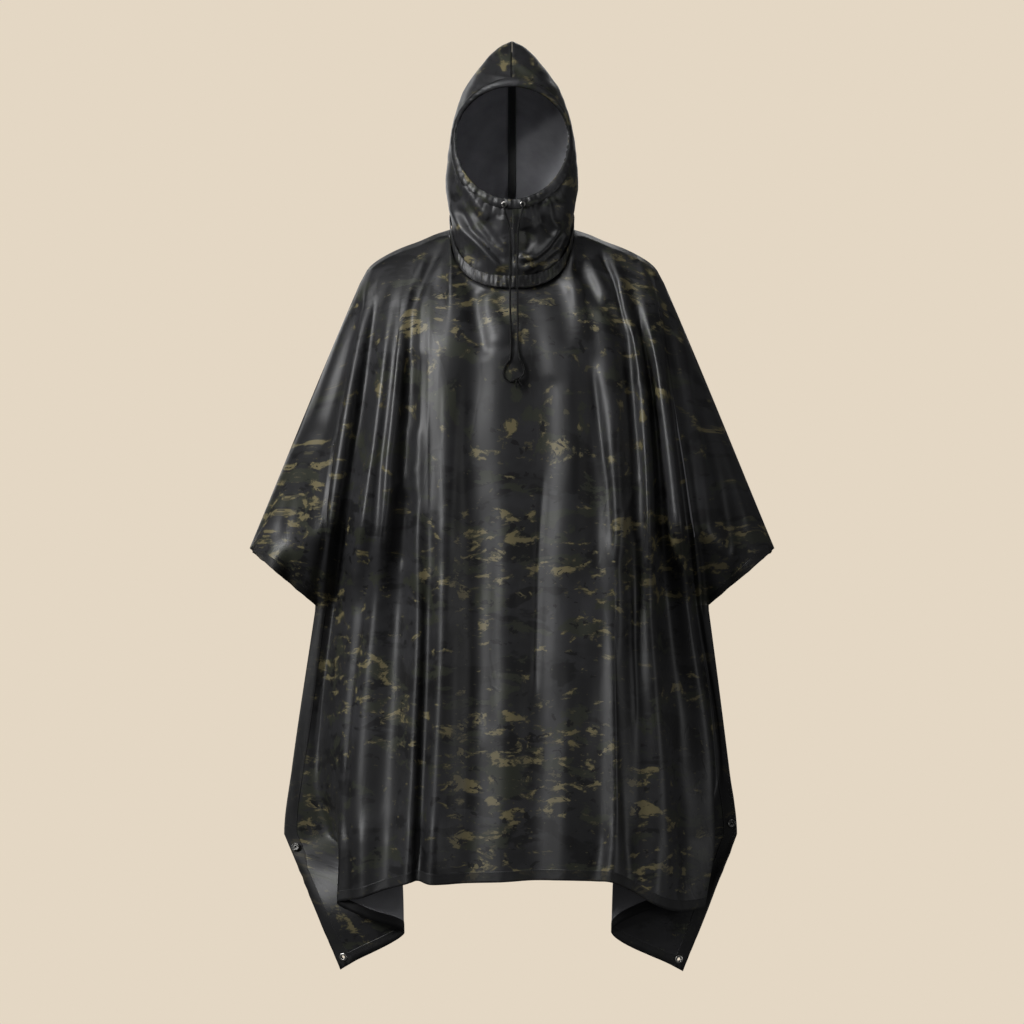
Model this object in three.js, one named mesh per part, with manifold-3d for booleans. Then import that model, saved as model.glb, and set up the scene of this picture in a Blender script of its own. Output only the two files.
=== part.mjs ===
// Rain poncho, worn shape with no wearer. Millimetres, +Z up, the front faces -Y.
// The origin is at the wearer's shoulders: between the shoulder points, at the height of the neck.
import * as THREE from 'three';
import { mergeVertices } from 'three/addons/utils/BufferGeometryUtils.js';
import Module from 'manifold-3d';

const wasm = await Module();
wasm.setup();

// Driving sizes
const CLOTH = 1.5;            // wall of a single layer of cloth
const HEM_EXTRA = 1.0;        // what a turned hem adds to the wall, on the inside
const SEAM = 0.15;            // half the gap at a seam between two pieces
const HEM_WIDTH = 18;
const NECK_HALF = 105;        // half the width of the neck seam
const NECK_DROP = 83;         // how far the neck seam hangs below the origin in front
const NECK_SIDE_Z = 20;
const CHEST_Z = -272;
const NOTCH_Z = -622;         // underarm, where the cuff meets the side seam
const KNEE_Z = -901;
const SNAP_Z = -1012;         // lowest snap, the widest place of the sides
const FOLD_Z = -1088;         // where the folded-back corners come out from under the hem
const SLEEVE_TIP = { x: 448, z: -524 };
const SHOULDER_DEPTH = 260;   // how far in from a folded edge the cloth reaches its full depth
const SIDE_DEPTH = 210;
const FACE = { half: 96, middle: 172, up: 85, down: 105 };
const CROWN_Z = 338;
const CROWN_RISE = 2.5;       // how much the hood's crown bulges beside its seam
const NECK_LIFT = 0.8;        // the hood starts just above the body's neck edge,
const NECK_INSET = 2.4;       // and just inside it at the sides
const BAND = { gathers: 44, height: 19, wall: 1.3 };      // gathered casing round the neck seam
const CASING = { gathers: 30, width: 17, wall: 1.2 };     // drawcord channel round the face opening
const TAPE = { half: 6.8, wall: 0.8, inset: 1.5 };        // tape over the seam inside the hood
const CORD = 3.4;
const KNOT = { x: 10, y: -155.7, z: -239, radius: 5.4, tail: 12 };
const CLEAR = 0.3;            // between the metal rings and the cloth
const CORNER_HOLE = 4.6;

// The folded top edge of the body, from the neck seam over the shoulder to the sleeve's tip
const RIDGE = [
  { x: NECK_HALF, z: NECK_SIDE_Z },
  { x: 130, z: 12 },
  { x: 158, z: 0 },
  { x: 190, z: -12 },
  { x: 220, z: -27 },
  { x: 240, z: -41 },
  { x: 253, z: -58 },
  { x: 264, z: -82 },
  { x: SLEEVE_TIP.x, z: SLEEVE_TIP.z },
];

// The side seam below the arm, as a half width at each height
const SIDE = [
  { x: 335, z: NOTCH_Z },
  { x: 374, z: KNEE_Z },
  { x: 387, z: SNAP_Z },
  { x: 387, z: -1400 },
];

// Full depth of the hanging cloth, in front of and behind the shoulders
const DEPTH = [
  { z: -1250, front: 195, back: 178 },
  { z: SNAP_Z, front: 188, back: 172 },
  { z: NOTCH_Z, front: 172, back: 160 },
  { z: -200, front: 150, back: 148 },
  { z: -83, front: 122, back: 132 },
  { z: 24, front: 98, back: 106 },
];

// Hood sections: half width, front and back, and how round the front of the section is
const HOOD = [
  { z: -90, half: 105, front: -112, back: 85, middle: -4, round: 0.8 },
  { z: 20, half: 105, front: -124, back: 86, middle: -6, round: 0.7 },
  { z: 60, half: 109, front: -127, back: 96, middle: -10, round: 0.64 },
  { z: 95, half: 113, front: -125, back: 105, middle: -14, round: 0.62 },
  { z: 150, half: 109, front: -122, back: 113, middle: -15, round: 0.62 },
  { z: 200, half: 101, front: -122, back: 108, middle: -15, round: 0.62 },
  { z: 230, half: 92, front: -124, back: 97, middle: -16, round: 0.64 },
  { z: 258, half: 81, front: -124, back: 82, middle: -18, round: 0.7 },
  { z: 280, half: 66, front: -108, back: 66, middle: -18, round: 0.8 },
  { z: 300, half: 51, front: -86, back: 48, middle: -16, round: 0.9 },
  { z: 318, half: 35, front: -62, back: 30, middle: -14, round: 1 },
  { z: 330, half: 19, front: -46, back: 18, middle: -13, round: 1 },
  { z: CROWN_Z, half: 0, front: -34, back: 10, middle: -12, round: 1 },
];

// Folds of the throat: ridges and hollows over the front of the hood, between two points as seen
// from the front, with how far they stand out and how wide they are
const HOOD_FOLDS = [
  { x1: -97, z1: 29, x2: -26, z2: -48, out: 7, width: 13 },
  { x1: -100, z1: 14, x2: -56, z2: -30, out: -5, width: 10 },
  { x1: 94, z1: 16, x2: 34, z2: -37, out: 7, width: 12 },
  { x1: 34, z1: -33, x2: 14, z2: -46, out: 6, width: 12 },
  { x1: -62, z1: 52, x2: 8, z2: -36, out: -5, width: 12 },
  { x1: 70, z1: 60, x2: 20, z2: -14, out: -5, width: 12 },
  { x1: -86, z1: 100, x2: -50, z2: 40, out: 4, width: 11 },
  { x1: 88, z1: 96, x2: 56, z2: 44, out: 4, width: 11 },
];

// Folds of the body panels, one row for each crest or trough from the wearer's right to left side as
// the front is seen: where it is across the panel at each height, where its end on the hem is, how
// far it stands out at each height, and where the corner is folded back on itself: hemY at its end,
// and foldX and foldOut just under the hem
const FOLD_COLUMNS = ['top', 'chest', 'notch', 'knee', 'snap', 'hem', 'hemZ',
  'outChest', 'outNotch', 'outKnee', 'outHem', 'hemY', 'foldX', 'foldOut'];
const FRONT_FOLDS = named(FOLD_COLUMNS, [
  [-248, -286, -335, -376, -389, -292, -1241, -8, 0, 0, 0, -50],
  [-239, -277, -323, -354, -365, -269, -1227, 4, 0, 0, 0, -60],
  [-222, -254, -304, -330, -310, -185, -1176, -21, -31, -30, -13, -90, -187, -96],
  [-211, -239, -287, -311, -300, -245, -1151, -5, -10, -13, 0, -114, -242, -58],
  [-199, -224, -268, -288, -291, -297, -1125, 10, 16, 16, 13],
  [-189, -213, -249, -276, -277, -277, -1119, 4, 1, 4, 5],
  [-180, -202, -231, -255, -257, -255, -1115, 10, 12, 13, 10],
  [-165, -178, -192, -207, -211, -214, -1100, -18, -29, -26, -16],
  [-150, -156, -158, -165, -171, -177, -1089, 1, 6, 6, 5],
  [-136, -140, -142, -150, -156, -160, -1084, -8, -6, -8, -5],
  [-105, -121, -116, -126, -133, -139, -1090, 10, 17, 18, 16],
  [-74.2, -76, -63, -65, -68, -75, -1088, -9, -10, -10, -8],
  [-27.2, -22, -10, -8, -10, -15, -1086, 4, 5, 6, 6],
  [27.2, 54, 46, 39, 37, 36, -1083, -8, -9, -8, -5],
  [74.2, 95, 95, 93, 92, 87, -1083, 4, 5, 6, 8],
  [105, 138, 153, 152, 149, 143, -1085, -10, -8, -6, -5],
  [129, 170, 176, 175, 171, 166, -1086, 10, 13, 13, 10],
  [150, 201, 211, 209, 206, 199, -1100, -12, -16, -14, -9],
  [170, 222, 234, 252, 253, 245, -1127, 8, 10, 10, 8],
  [187, 239, 265, 291, 296, 289, -1139, -21, -31, -27, 4],
  [207, 255, 297, 340, 346, 328, -1134, 10, 12, 13, 10],
  [219, 263, 307, 346, 324, 253, -1131, 1, -3, -5, 0, -94, 250, -60],
  [230, 270, 315, 354, 304, 170, -1176, -8, -12, -2, -10, -76, 172, -108],
  [239, 277, 324, 361, 366, 271, -1233, -4, 0, 0, 0, -54, 334, -32],
  [248, 284, 335, 371, 384, 291, -1244, -8, 0, 0, 0, -46],
]);
const BACK_FOLDS = named(FOLD_COLUMNS, [
  [-248, -286, -335, -376, -389, -284, -1226, -8, 0, 0, 0, 50],
  [-239, -277, -323, -354, -365, -262, -1214, 4, 0, 0, 0, 58],
  [-224, -254, -300, -328, -314, -196, -1150, -16, -23, -26, -10, 82, -226, -72],
  [-206, -232, -274, -300, -300, -288, -1104, 10, 14, 16, 13],
  [-178, -198, -226, -244, -246, -236, -1090, -16, -23, -23, -16],
  [-146, -160, -176, -190, -194, -186, -1080, 12, 16, 16, 13],
  [-105, -112, -118, -130, -134, -132, -1076, -10, -13, -16, -10],
  [-74.2, -66, -64, -70, -72, -74, -1074, 8, 12, 12, 10],
  [-27.2, -12, -4, -6, -8, -8, -1074, -8, -10, -10, -8],
  [27.2, 44, 56, 58, 58, 56, -1074, 6, 10, 12, 10],
  [74.2, 98, 112, 118, 120, 116, -1075, -12, -16, -16, -10],
  [105, 140, 162, 176, 178, 172, -1078, 10, 13, 14, 13],
  [170, 188, 214, 232, 236, 228, -1088, -16, -23, -23, -16],
  [202, 230, 270, 298, 300, 284, -1102, 10, 14, 16, 13],
  [222, 254, 298, 328, 312, 190, -1148, -14, -22, -25, -10, 82, 224, -72],
  [239, 277, 323, 352, 362, 260, -1216, 4, 0, 0, 0, 56],
  [248, 284, 335, 371, 384, 282, -1228, -8, 0, 0, 0, 48],
]);

// Folds of the sleeves, by how far they are from the body (0) to the tip (1)
const SLEEVE_FOLDS = [
  { at: 0.16, out: 9, width: 0.12 },
  { at: 0.42, out: -13, width: 0.14 },
  { at: 0.72, out: 7, width: 0.14 },
];

// How far down each panel the rows of its mesh lie: 0 top edge, 1 chest, 2 notch, 3 knee, 4 snap, 5 hem
const UPPER_ROWS = [0, 0.03, 0.09, 0.2, 0.38, 0.62, 1, 1.32, 1.66, 2];
const LOWER_ROWS = [2.33, 2.67, 3, 3.5, 4, 4.2, 4.4, 4.64];
const SLEEVE_COLUMNS = 6;
const NECK_STEP = Math.PI / 12;

// Colours and finish
const CLOTH_LOOK = { color: 0x33342f, roughness: 0.45, metalness: 0 };
const TAPE_LOOK = { color: 0x1c1c1b, roughness: 0.6, metalness: 0 };
const CORD_LOOK = { color: 0x141414, roughness: 0.7, metalness: 0 };
const METAL_LOOK = { color: 0x8c8a84, roughness: 0.35, metalness: 1 };

// A table's rows as objects, by the names of its columns
function named(columns, rows) {
  return rows.map((row) => Object.fromEntries(row.map((value, i) => [columns[i], value])));
}

// Arithmetic on numbers and on points
const lerp = (a, b, t) => a + (b - a) * t;
const clamp = (value, low, high) => Math.min(high, Math.max(low, value));
function ease(t) {
  const s = clamp(t, 0, 1);
  return s * s * (3 - 2 * s);
}
function softMin(a, b, k) {
  const h = clamp(0.5 + (b - a) / (2 * k), 0, 1);
  return lerp(b, a, h) - k * h * (1 - h);
}
const add = (a, b, k = 1) => a.map((value, i) => value + k * b[i]);
const distance = (a, b) => Math.hypot(...a.map((value, i) => value - b[i]));

// A smooth curve through knots [at, value] that makes no bumps between them
function through(knots, at) {
  const last = knots.length - 1;
  if ((at - knots[0][0]) * (knots[last][0] - knots[0][0]) <= 0) return knots[0][1];
  if ((at - knots[last][0]) * (knots[last][0] - knots[0][0]) >= 0) return knots[last][1];
  let i = 0;
  while ((at - knots[i + 1][0]) * (knots[last][0] - knots[0][0]) > 0) i += 1;
  const slope = (k) => (knots[k + 1][1] - knots[k][1]) / (knots[k + 1][0] - knots[k][0]);
  const tangent = (k) => {
    if (k === 0) return slope(0);
    if (k === last) return slope(last - 1);
    const [a, b] = [slope(k - 1), slope(k)];
    return a * b <= 0 ? 0 : (2 * a * b) / (a + b);
  };
  const h = knots[i + 1][0] - knots[i][0];
  const t = (at - knots[i][0]) / h;
  return knots[i][1] * (1 + 2 * t) * (1 - t) ** 2 + knots[i + 1][1] * t * t * (3 - 2 * t)
    + h * (tangent(i) * t * (1 - t) ** 2 + tangent(i + 1) * t * t * (t - 1));
}
const column = (table, at, key, where) => through(table.map((row) => [row[at], row[key]]), where);

// Centripetal curve through points, at points[i] for t = i
function curveAt(points, t) {
  const i = clamp(Math.floor(t), 0, points.length - 2);
  const local = t - i;
  if (local === 0) return points[i];
  if (local === 1) return points[i + 1];
  const beyond = (a, b) => add(a, add(a, b, -1));
  const four = [
    i > 0 ? points[i - 1] : beyond(points[0], points[1]),
    points[i],
    points[i + 1],
    i + 2 < points.length ? points[i + 2] : beyond(points[i + 1], points[i]),
  ];
  const knot = [0];
  for (let k = 0; k < 3; k += 1) knot.push(knot[k] + Math.sqrt(distance(four[k], four[k + 1])) + 1e-6);
  const at = lerp(knot[1], knot[2], local);
  const mix = (a, b, from, to) => {
    const share = (at - from) / (to - from);
    return add(a.map((value) => value * (1 - share)), b, share);
  };
  const a = [0, 1, 2].map((k) => mix(four[k], four[k + 1], knot[k], knot[k + 1]));
  const b = [0, 1].map((k) => mix(a[k], a[k + 1], knot[k], knot[k + 2]));
  return mix(b[0], b[1], knot[1], knot[2]);
}

function distanceToPath(path, x, z) {
  let least = Infinity;
  for (let i = 0; i + 1 < path.length; i += 1) {
    const [a, b] = [path[i], path[i + 1]];
    const [dx, dz] = [b.x - a.x, b.z - a.z];
    const t = clamp(((x - a.x) * dx + (z - a.z) * dz) / (dx * dx + dz * dz), 0, 1);
    least = Math.min(least, Math.hypot(x - a.x - t * dx, z - a.z - t * dz));
  }
  return least;
}

// How far the cloth stands off the plane of the shoulders, seen from the front at x, z
function standOff(x, z, side) {
  const across = Math.abs(x);
  const full = column(DEPTH, 'z', side, z);
  const slim = 1 - 0.42 * ease((across - 270) / 170) * ease((z + 760) / 160);
  const fromRidge = softMin(distanceToPath(RIDGE, across, z), distanceToPath(RIDGE, -across, z), 60);
  const overArm = Math.sqrt(1 - (1 - Math.min(fromRidge / SHOULDER_DEPTH, 1)) ** 2);
  const fromSide = distanceToPath(SIDE, across, z);
  const fin = lerp(8, 24, ease((NOTCH_Z - z) / (NOTCH_Z - SNAP_Z)));
  const opened = Math.sin((Math.PI / 2) * clamp((fromSide - fin) / SIDE_DEPTH, 0, 1));
  const edge = 3 * (1 - Math.exp(-fromSide / 1.5)) + 0.08 * Math.min(fromSide, fin);
  return softMin(full * slim * overArm, edge + full * slim * opened, 12);
}

// Where the neck seam is, by its angle round the neck from the front (0) to the nape (180 degrees)
function neckSeam(angle) {
  const [s, c] = [Math.sin(angle), Math.cos(angle)];
  const x = NECK_HALF * s;
  if (c > 0) {
    const z = -NECK_DROP + (NECK_DROP + NECK_SIDE_Z) * (1 - c) ** 1.3;
    return [x, -standOff(x, z, 'front'), z];
  }
  const z = NECK_SIDE_Z - 4 * c;
  return [x, standOff(x, z, 'back'), z];
}

// Points of a body panel: u counts its fold rows, s its levels from 0 (top edge) to 5 (hem)
function bodyPanel(folds, side) {
  const sign = side === 'front' ? -1 : 1;
  const last = folds.length - 1;
  const neckStart = folds.findIndex((fold) => fold.top === -NECK_HALF);
  const neckEnd = folds.findIndex((fold) => fold.top === NECK_HALF);
  const ridgeZ = (x) => column(RIDGE, 'x', 'z', Math.abs(x));
  const turnOf = (x) => Math.asin(clamp(x / NECK_HALF, -1, 1));
  const seamAt = (turn) => neckSeam(side === 'front' ? turn : Math.PI - turn);
  const onNeck = (x) => Math.abs(x) < NECK_HALF;
  const topZ = (x) => (onNeck(x) ? seamAt(turnOf(x))[2] : ridgeZ(x));

  function heightAt(fold, s, topX) {
    const levels = [topZ(topX), CHEST_Z, NOTCH_Z, KNEE_Z, SNAP_Z, fold.hemZ];
    const i = clamp(Math.floor(s), 0, 4);
    return lerp(levels[i], levels[i + 1], s - i);
  }
  function foldPoint(fold, s, edge) {
    const top = topZ(fold.top);
    const z = heightAt(fold, s, fold.top);
    const xs = [[top, fold.top], [CHEST_Z, fold.chest], [NOTCH_Z, fold.notch], [KNEE_Z, fold.knee],
      [SNAP_Z, fold.snap], [fold.hemZ, fold.hem]];
    const outs = [[top, 0], [CHEST_Z, fold.outChest], [NOTCH_Z, fold.outNotch], [KNEE_Z, fold.outKnee],
      [fold.hemZ, fold.outHem]];
    if (fold.foldX !== undefined) {
      xs.splice(-1, 0, [FOLD_Z, fold.foldX]);
      outs.splice(-1, 0, [FOLD_Z, fold.foldOut]);
    }
    let x = through(xs, z);
    if (edge && z < SNAP_Z) x = lerp(fold.snap, fold.hem, (z - SNAP_Z) / (fold.hemZ - SNAP_Z));
    let off = standOff(x, z, side) + through(outs, z);
    if (fold.hemY !== undefined) off = lerp(off, Math.abs(fold.hemY), ease(s - 4));
    return [x, sign * Math.max(off, SEAM), z];
  }
  const across = (u, s) => curveAt(folds.map((fold, j) => foldPoint(fold, s, j === 0 || j === last)), u);
  // How far the exact top edge lies from the curve through the folds' tops
  const topShift = new Map();
  function shiftAt(u) {
    if (!topShift.has(u)) {
      const raw = across(u, 0);
      const i = clamp(Math.floor(u), 0, last - 1);
      const neck = i >= neckStart && i < neckEnd;
      const turn = lerp(turnOf(folds[i].top), turnOf(folds[i + 1].top), u - i);
      const edge = neck ? seamAt(turn) : [raw[0], 0, ridgeZ(raw[0])];
      edge[1] = sign * Math.max(Math.abs(edge[1]), SEAM);
      topShift.set(u, add(edge, raw, -1));
    }
    return topShift.get(u);
  }
  function pointAt(u, s) {
    const point = add(across(u, s), shiftAt(u), 1 - ease(s / 0.8));
    point[1] = sign * Math.max(sign * point[1], SEAM);
    return point;
  }
  // A point of the sleeve: from the side line of the body (0) to the tip (1), from ridge to cuff
  function sleevePoint(hand, share, s) {
    const sideFold = folds[hand < 0 ? 0 : last];
    const inner = foldPoint(sideFold, s, true);
    const start = [sideFold.top, topZ(sideFold.top)];
    const end = [sideFold.notch, NOTCH_Z];
    let t = (start[1] - inner[2]) / (start[1] - end[1]);
    const bow = add([inner[0], inner[2]], add(start, add(end, start, -1), t), -1);
    const tip = [hand * SLEEVE_TIP.x, SLEEVE_TIP.z];
    const cuffEnd = add(tip, add(end, tip, -1), 10 / distance(end, tip));
    const cuff = add(end, add(cuffEnd, end, -1), share);
    const ridgeX = lerp(Math.abs(start[0]), SLEEVE_TIP.x, share ** 0.8);
    const ridge = [hand * ridgeX, ridgeZ(ridgeX)];
    const length = distance(ridge, cuff);
    if (s === UPPER_ROWS.at(-2)) t = Math.max(t, 1 - Math.min(0.45, HEM_WIDTH / length));
    const flat = add(add(ridge, add(cuff, ridge, -1), t), bow, 1 - share);
    let off = standOff(flat[0], flat[1], side);
    const fade = ease(distanceToPath(RIDGE, Math.abs(flat[0]), flat[1]) / 45);
    for (const fold of SLEEVE_FOLDS) {
      off += fade * fold.out * Math.exp(-(((share - fold.at) / fold.width) ** 2)) * (0.4 + 0.6 * t);
    }
    off += (1 - ease(share / 0.2)) * (Math.abs(inner[1]) - standOff(inner[0], inner[2], side)) * fade;
    if (s === 0) return [ridge[0], sign * SEAM, ridge[1]];
    return [flat[0], sign * Math.max(off, SEAM), flat[1]];
  }
  return { pointAt, sleevePoint, folds, sign, last };
}

// Mesh of cloth from a grid of outer points: rows of columns, null where there is no cloth.
// thick gives the wall at a point and steer corrects the direction in which the wall is built.
function clothSolid(grid, thick, steer = (n) => n, keep = (p) => p) {
  const positions = [];
  const outer = new Map();
  const inner = new Map();
  const key = (i, j) => `${i},${j}`;
  const normals = new Map();
  const has = (i, j) => Boolean(grid[i]?.[j]);
  const quads = [];
  grid.forEach((row, i) => row.forEach((_, j) => {
    if (has(i, j) && has(i, j + 1) && has(i + 1, j) && has(i + 1, j + 1)) quads.push([i, j]);
  }));
  const corner = (i, j) => new THREE.Vector3(...grid[i][j]);
  for (const [i, j] of quads) {
    const across = corner(i, j + 1).sub(corner(i + 1, j));
    const down = corner(i + 1, j + 1).sub(corner(i, j));
    const normal = down.cross(across);
    for (const [a, b] of [[i, j], [i, j + 1], [i + 1, j], [i + 1, j + 1]]) {
      if (!normals.has(key(a, b))) normals.set(key(a, b), new THREE.Vector3());
      normals.get(key(a, b)).add(normal);
    }
  }
  for (const [name, sum] of normals) {
    const [i, j] = name.split(',').map(Number);
    const normal = new THREE.Vector3(...steer(sum.normalize().toArray(), i, j)).normalize();
    const point = corner(i, j);
    outer.set(name, positions.length / 3);
    positions.push(...point.toArray());
    inner.set(name, positions.length / 3);
    positions.push(...keep(point.addScaledVector(normal, -thick(i, j)).toArray(), i, j));
  }
  const faces = [];
  const face = (a, b, c, d) => faces.push(a, b, c, a, c, d);
  const inQuads = new Set(quads.map(([i, j]) => key(i, j)));
  for (const [i, j] of quads) {
    const names = [key(i, j), key(i + 1, j), key(i + 1, j + 1), key(i, j + 1)];
    const [a, b, c, d] = names.map((name) => inner.get(name));
    face(...names.map((name) => outer.get(name)));
    face(a, d, c, b);
    const sides = [[[i, j - 1], 0, 1], [[i + 1, j], 1, 2], [[i, j + 1], 2, 3], [[i - 1, j], 3, 0]];
    for (const [beside, from, to] of sides) {
      if (inQuads.has(key(...beside))) continue;
      face(outer.get(names[to]), outer.get(names[from]), inner.get(names[from]), inner.get(names[to]));
    }
  }
  const geometry = new THREE.BufferGeometry();
  geometry.setAttribute('position', new THREE.Float32BufferAttribute(positions, 3));
  geometry.setIndex(faces);
  return geometry;
}

function toManifold(geometry) {
  const bare = geometry.index ? geometry.toNonIndexed() : geometry.clone();
  bare.deleteAttribute('normal');
  bare.deleteAttribute('uv');
  const merged = mergeVertices(bare, 1e-3);
  return new wasm.Manifold(new wasm.Mesh({
    numProp: 3,
    vertProperties: merged.attributes.position.array,
    triVerts: new Uint32Array(merged.index.array),
  }));
}
function fromManifold(solid) {
  const mesh = solid.getMesh();
  const geometry = new THREE.BufferGeometry();
  geometry.setAttribute('position', new THREE.Float32BufferAttribute(Array.from(mesh.vertProperties), 3));
  geometry.setIndex(Array.from(mesh.triVerts));
  return geometry;
}

// Body
function panelColumns(folds) {
  const columns = [0];
  for (let j = 0; j + 1 < folds.length; j += 1) {
    const [here, next] = [folds[j], folds[j + 1]];
    const wide = Math.max(Math.abs(next.notch - here.notch), Math.abs(next.hem - here.hem));
    const onNeck = Math.abs(here.top + next.top) < 1.7 * NECK_HALF;
    const turn = Math.asin(next.top / NECK_HALF) - Math.asin(here.top / NECK_HALF);
    const narrow = wide < 27 ? 2 : 3;
    const steps = onNeck ? Math.round(turn / NECK_STEP) : narrow;
    for (let k = 1; k <= steps; k += 1) columns.push(j + k / steps);
  }
  return columns;
}
function panelGeometry(panel) {
  const columns = panelColumns(panel.folds);
  const rows = [...UPPER_ROWS, ...LOWER_ROWS];
  const notchRow = UPPER_ROWS.length - 1;
  const grid = rows.map((s, i) => {
    const body = columns.map((u) => panel.pointAt(u, s));
    const sleeve = (hand) => Array.from({ length: SLEEVE_COLUMNS }, (_, k) => (
      i > notchRow ? null : panel.sleevePoint(hand, (k + 1) / SLEEVE_COLUMNS, s)));
    return [...sleeve(-1).reverse(), ...body, ...sleeve(1)];
  });
  const none = Array(SLEEVE_COLUMNS).fill(null);
  const hem = columns.map((u) => panel.pointAt(u, 5));
  const band = hem.map((point, k) => {
    const above = grid[rows.length - 1][SLEEVE_COLUMNS + k];
    return add(point, add(above, point, -1), HEM_WIDTH / distance(above, point));
  });
  grid.push([...none, ...band, ...none], [...none, ...hem, ...none]);
  const bandRow = grid.length - 2;
  const width = grid[0].length;
  const first = SLEEVE_COLUMNS;
  const final = width - 1 - SLEEVE_COLUMNS;
  const bandColumns = columns.filter((u) => u <= 1).length - 1;
  const isSleeve = (j) => j < first || j > final;
  const thick = (i, j) => {
    if (isSleeve(j)) return CLOTH + (i >= notchRow - 1 ? HEM_EXTRA : 0);
    const bySide = i > notchRow && (j - first <= bandColumns || final - j <= bandColumns);
    return CLOTH + (i >= bandRow || bySide ? HEM_EXTRA : 0);
  };
  const snapRow = rows.indexOf(4);
  const steer = (n, i, j) => {
    const onRidge = i === 0 && Math.abs(grid[i][j][1]) < 1;
    const onSide = (j === first || j === final) && i >= notchRow && i <= snapRow;
    return onRidge || onSide ? [n[0], 0, n[2]] : n;
  };
  const keep = (p) => [p[0], panel.sign * Math.max(panel.sign * p[1], SEAM), p[2]];
  const turned = panel.sign > 0 ? grid.map((row) => [...row].reverse()) : grid;
  const flip = (f) => (i, j) => f(i, panel.sign > 0 ? width - 1 - j : j);
  const steered = (n, i, j) => steer(n, i, panel.sign > 0 ? width - 1 - j : j);
  return clothSolid(turned, flip(thick), steered, keep);
}

// Finds u, s where a panel passes through x, z as seen from the front, starting near u0, s0
function locate(panel, x, z, u0, s0) {
  let [u, s] = [u0, s0];
  const step = 0.002;
  for (let n = 0; n < 30; n += 1) {
    const p = panel.pointAt(u, s);
    const pu = add(panel.pointAt(u + step, s), p, -1);
    const ps = add(panel.pointAt(u, s + step), p, -1);
    const det = (pu[0] * ps[2] - pu[2] * ps[0]) / step;
    const [ex, ez] = [x - p[0], z - p[2]];
    u += clamp((ex * ps[2] - ez * ps[0]) / det, -0.2, 0.2);
    s += clamp((pu[0] * ez - pu[2] * ex) / det, -0.1, 0.1);
  }
  const at = new THREE.Vector3(...panel.pointAt(u, s));
  const du = new THREE.Vector3(...panel.pointAt(u + step, s)).sub(at);
  const ds = new THREE.Vector3(...panel.pointAt(u, s + step)).sub(at);
  const normal = ds.cross(du).normalize();
  if (normal.y * panel.sign < 0) normal.negate();
  return { at, normal };
}

// Hood
function hoodRelief(x, z) {
  let out = 0;
  for (const fold of HOOD_FOLDS) {
    const [dx, dz] = [fold.x2 - fold.x1, fold.z2 - fold.z1];
    const t = clamp(((x - fold.x1) * dx + (z - fold.z1) * dz) / (dx * dx + dz * dz), 0, 1);
    const away = Math.hypot(x - fold.x1 - t * dx, z - fold.z1 - t * dz) / fold.width;
    out += fold.out * Math.exp(-away * away);
  }
  return out;
}
// Point of the hood, by angle from the front (0) to the nape (pi) and height from neck (0) to crown (1)
function hoodPoint(angle, up, hand) {
  const seam = neckSeam(angle);
  const beside = Math.sin(angle) ** 6;
  seam[0] -= NECK_INSET * beside;
  seam[1] *= 1 - (0.5 * NECK_INSET * beside) / NECK_HALF;
  seam[2] += NECK_LIFT;
  let z = lerp(seam[2], CROWN_Z, up);
  const blend = ease((z - seam[2]) / 70);
  const get = (key) => column(HOOD, 'z', key, z);
  const [s, c] = [Math.sin(angle), Math.cos(angle)];
  const middle = get('middle');
  const y = c > 0
    ? lerp(middle, get('front'), c ** get('round'))
    : lerp(middle, get('back'), (-c) ** 0.8);
  const x = lerp(seam[0], get('half') * s, blend);
  const front = c > 0 ? ease(c * 2.5) : 0;
  const fade = ease((z - seam[2]) / 34) * front;
  const out = [x, lerp(seam[1], y, blend) - hoodRelief(hand * x, z) * fade];
  z += CROWN_RISE * s * s * ease((up - 0.9) / 0.1);
  return [hand * Math.max(out[0], SEAM), out[1], z];
}
// The hood's cloth runs from the face opening (r = 0) to its outer edge (r = 1), and round the
// opening from the throat (t = 0) to the crown (t = 1)
const HOOD_CROWN = 0.88;
const HOOD_COLUMNS = 26;
const HOOD_NAPE = Math.PI / NECK_STEP / HOOD_COLUMNS;
const HOOD_RINGS = [0, 0.1, 0.22, 0.36, 0.52, 0.68, 0.84, 1];
const hoodShares = Array.from({ length: HOOD_COLUMNS + 1 }, (_, k) => k / HOOD_COLUMNS);
function faceEdge(t) {
  const angle = Math.PI * (t - 0.5);
  const z = FACE.middle + (angle > 0 ? FACE.up : FACE.down) * Math.sin(angle);
  const x = FACE.half * Math.max(Math.cos(angle), 0);
  const turn = Math.asin(clamp(x / column(HOOD, 'z', 'half', z), 0, 1));
  const seam = neckSeam(turn)[2];
  return [turn, (z - seam) / (CROWN_Z - seam)];
}
function outerEdge(t) {
  if (t < HOOD_NAPE) return [(Math.PI * t) / HOOD_NAPE, 0];
  if (t < HOOD_CROWN) return [Math.PI, (t - HOOD_NAPE) / (HOOD_CROWN - HOOD_NAPE)];
  return [(Math.PI * (1 - t)) / (1 - HOOD_CROWN), 1];
}
function hoodAt(t, r, hand) {
  const [angle, up] = add(faceEdge(t), add(outerEdge(t), faceEdge(t), -1), r);
  return hoodPoint(angle, up, hand);
}
function hoodHalf(hand) {
  const around = hand > 0 ? hoodShares : [...hoodShares].reverse();
  const grid = HOOD_RINGS.map((r) => around.map((t) => hoodAt(t, r, hand)));
  const onSeam = (p) => Math.abs(p[0]) <= SEAM + 1e-6;
  const steer = (n, i, j) => (onSeam(grid[i][j]) ? [0, n[1], n[2]] : n);
  const keep = (p) => [hand * Math.max(hand * p[0], SEAM), p[1], p[2]];
  return clothSolid(grid, () => CLOTH, steer, keep);
}

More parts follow.
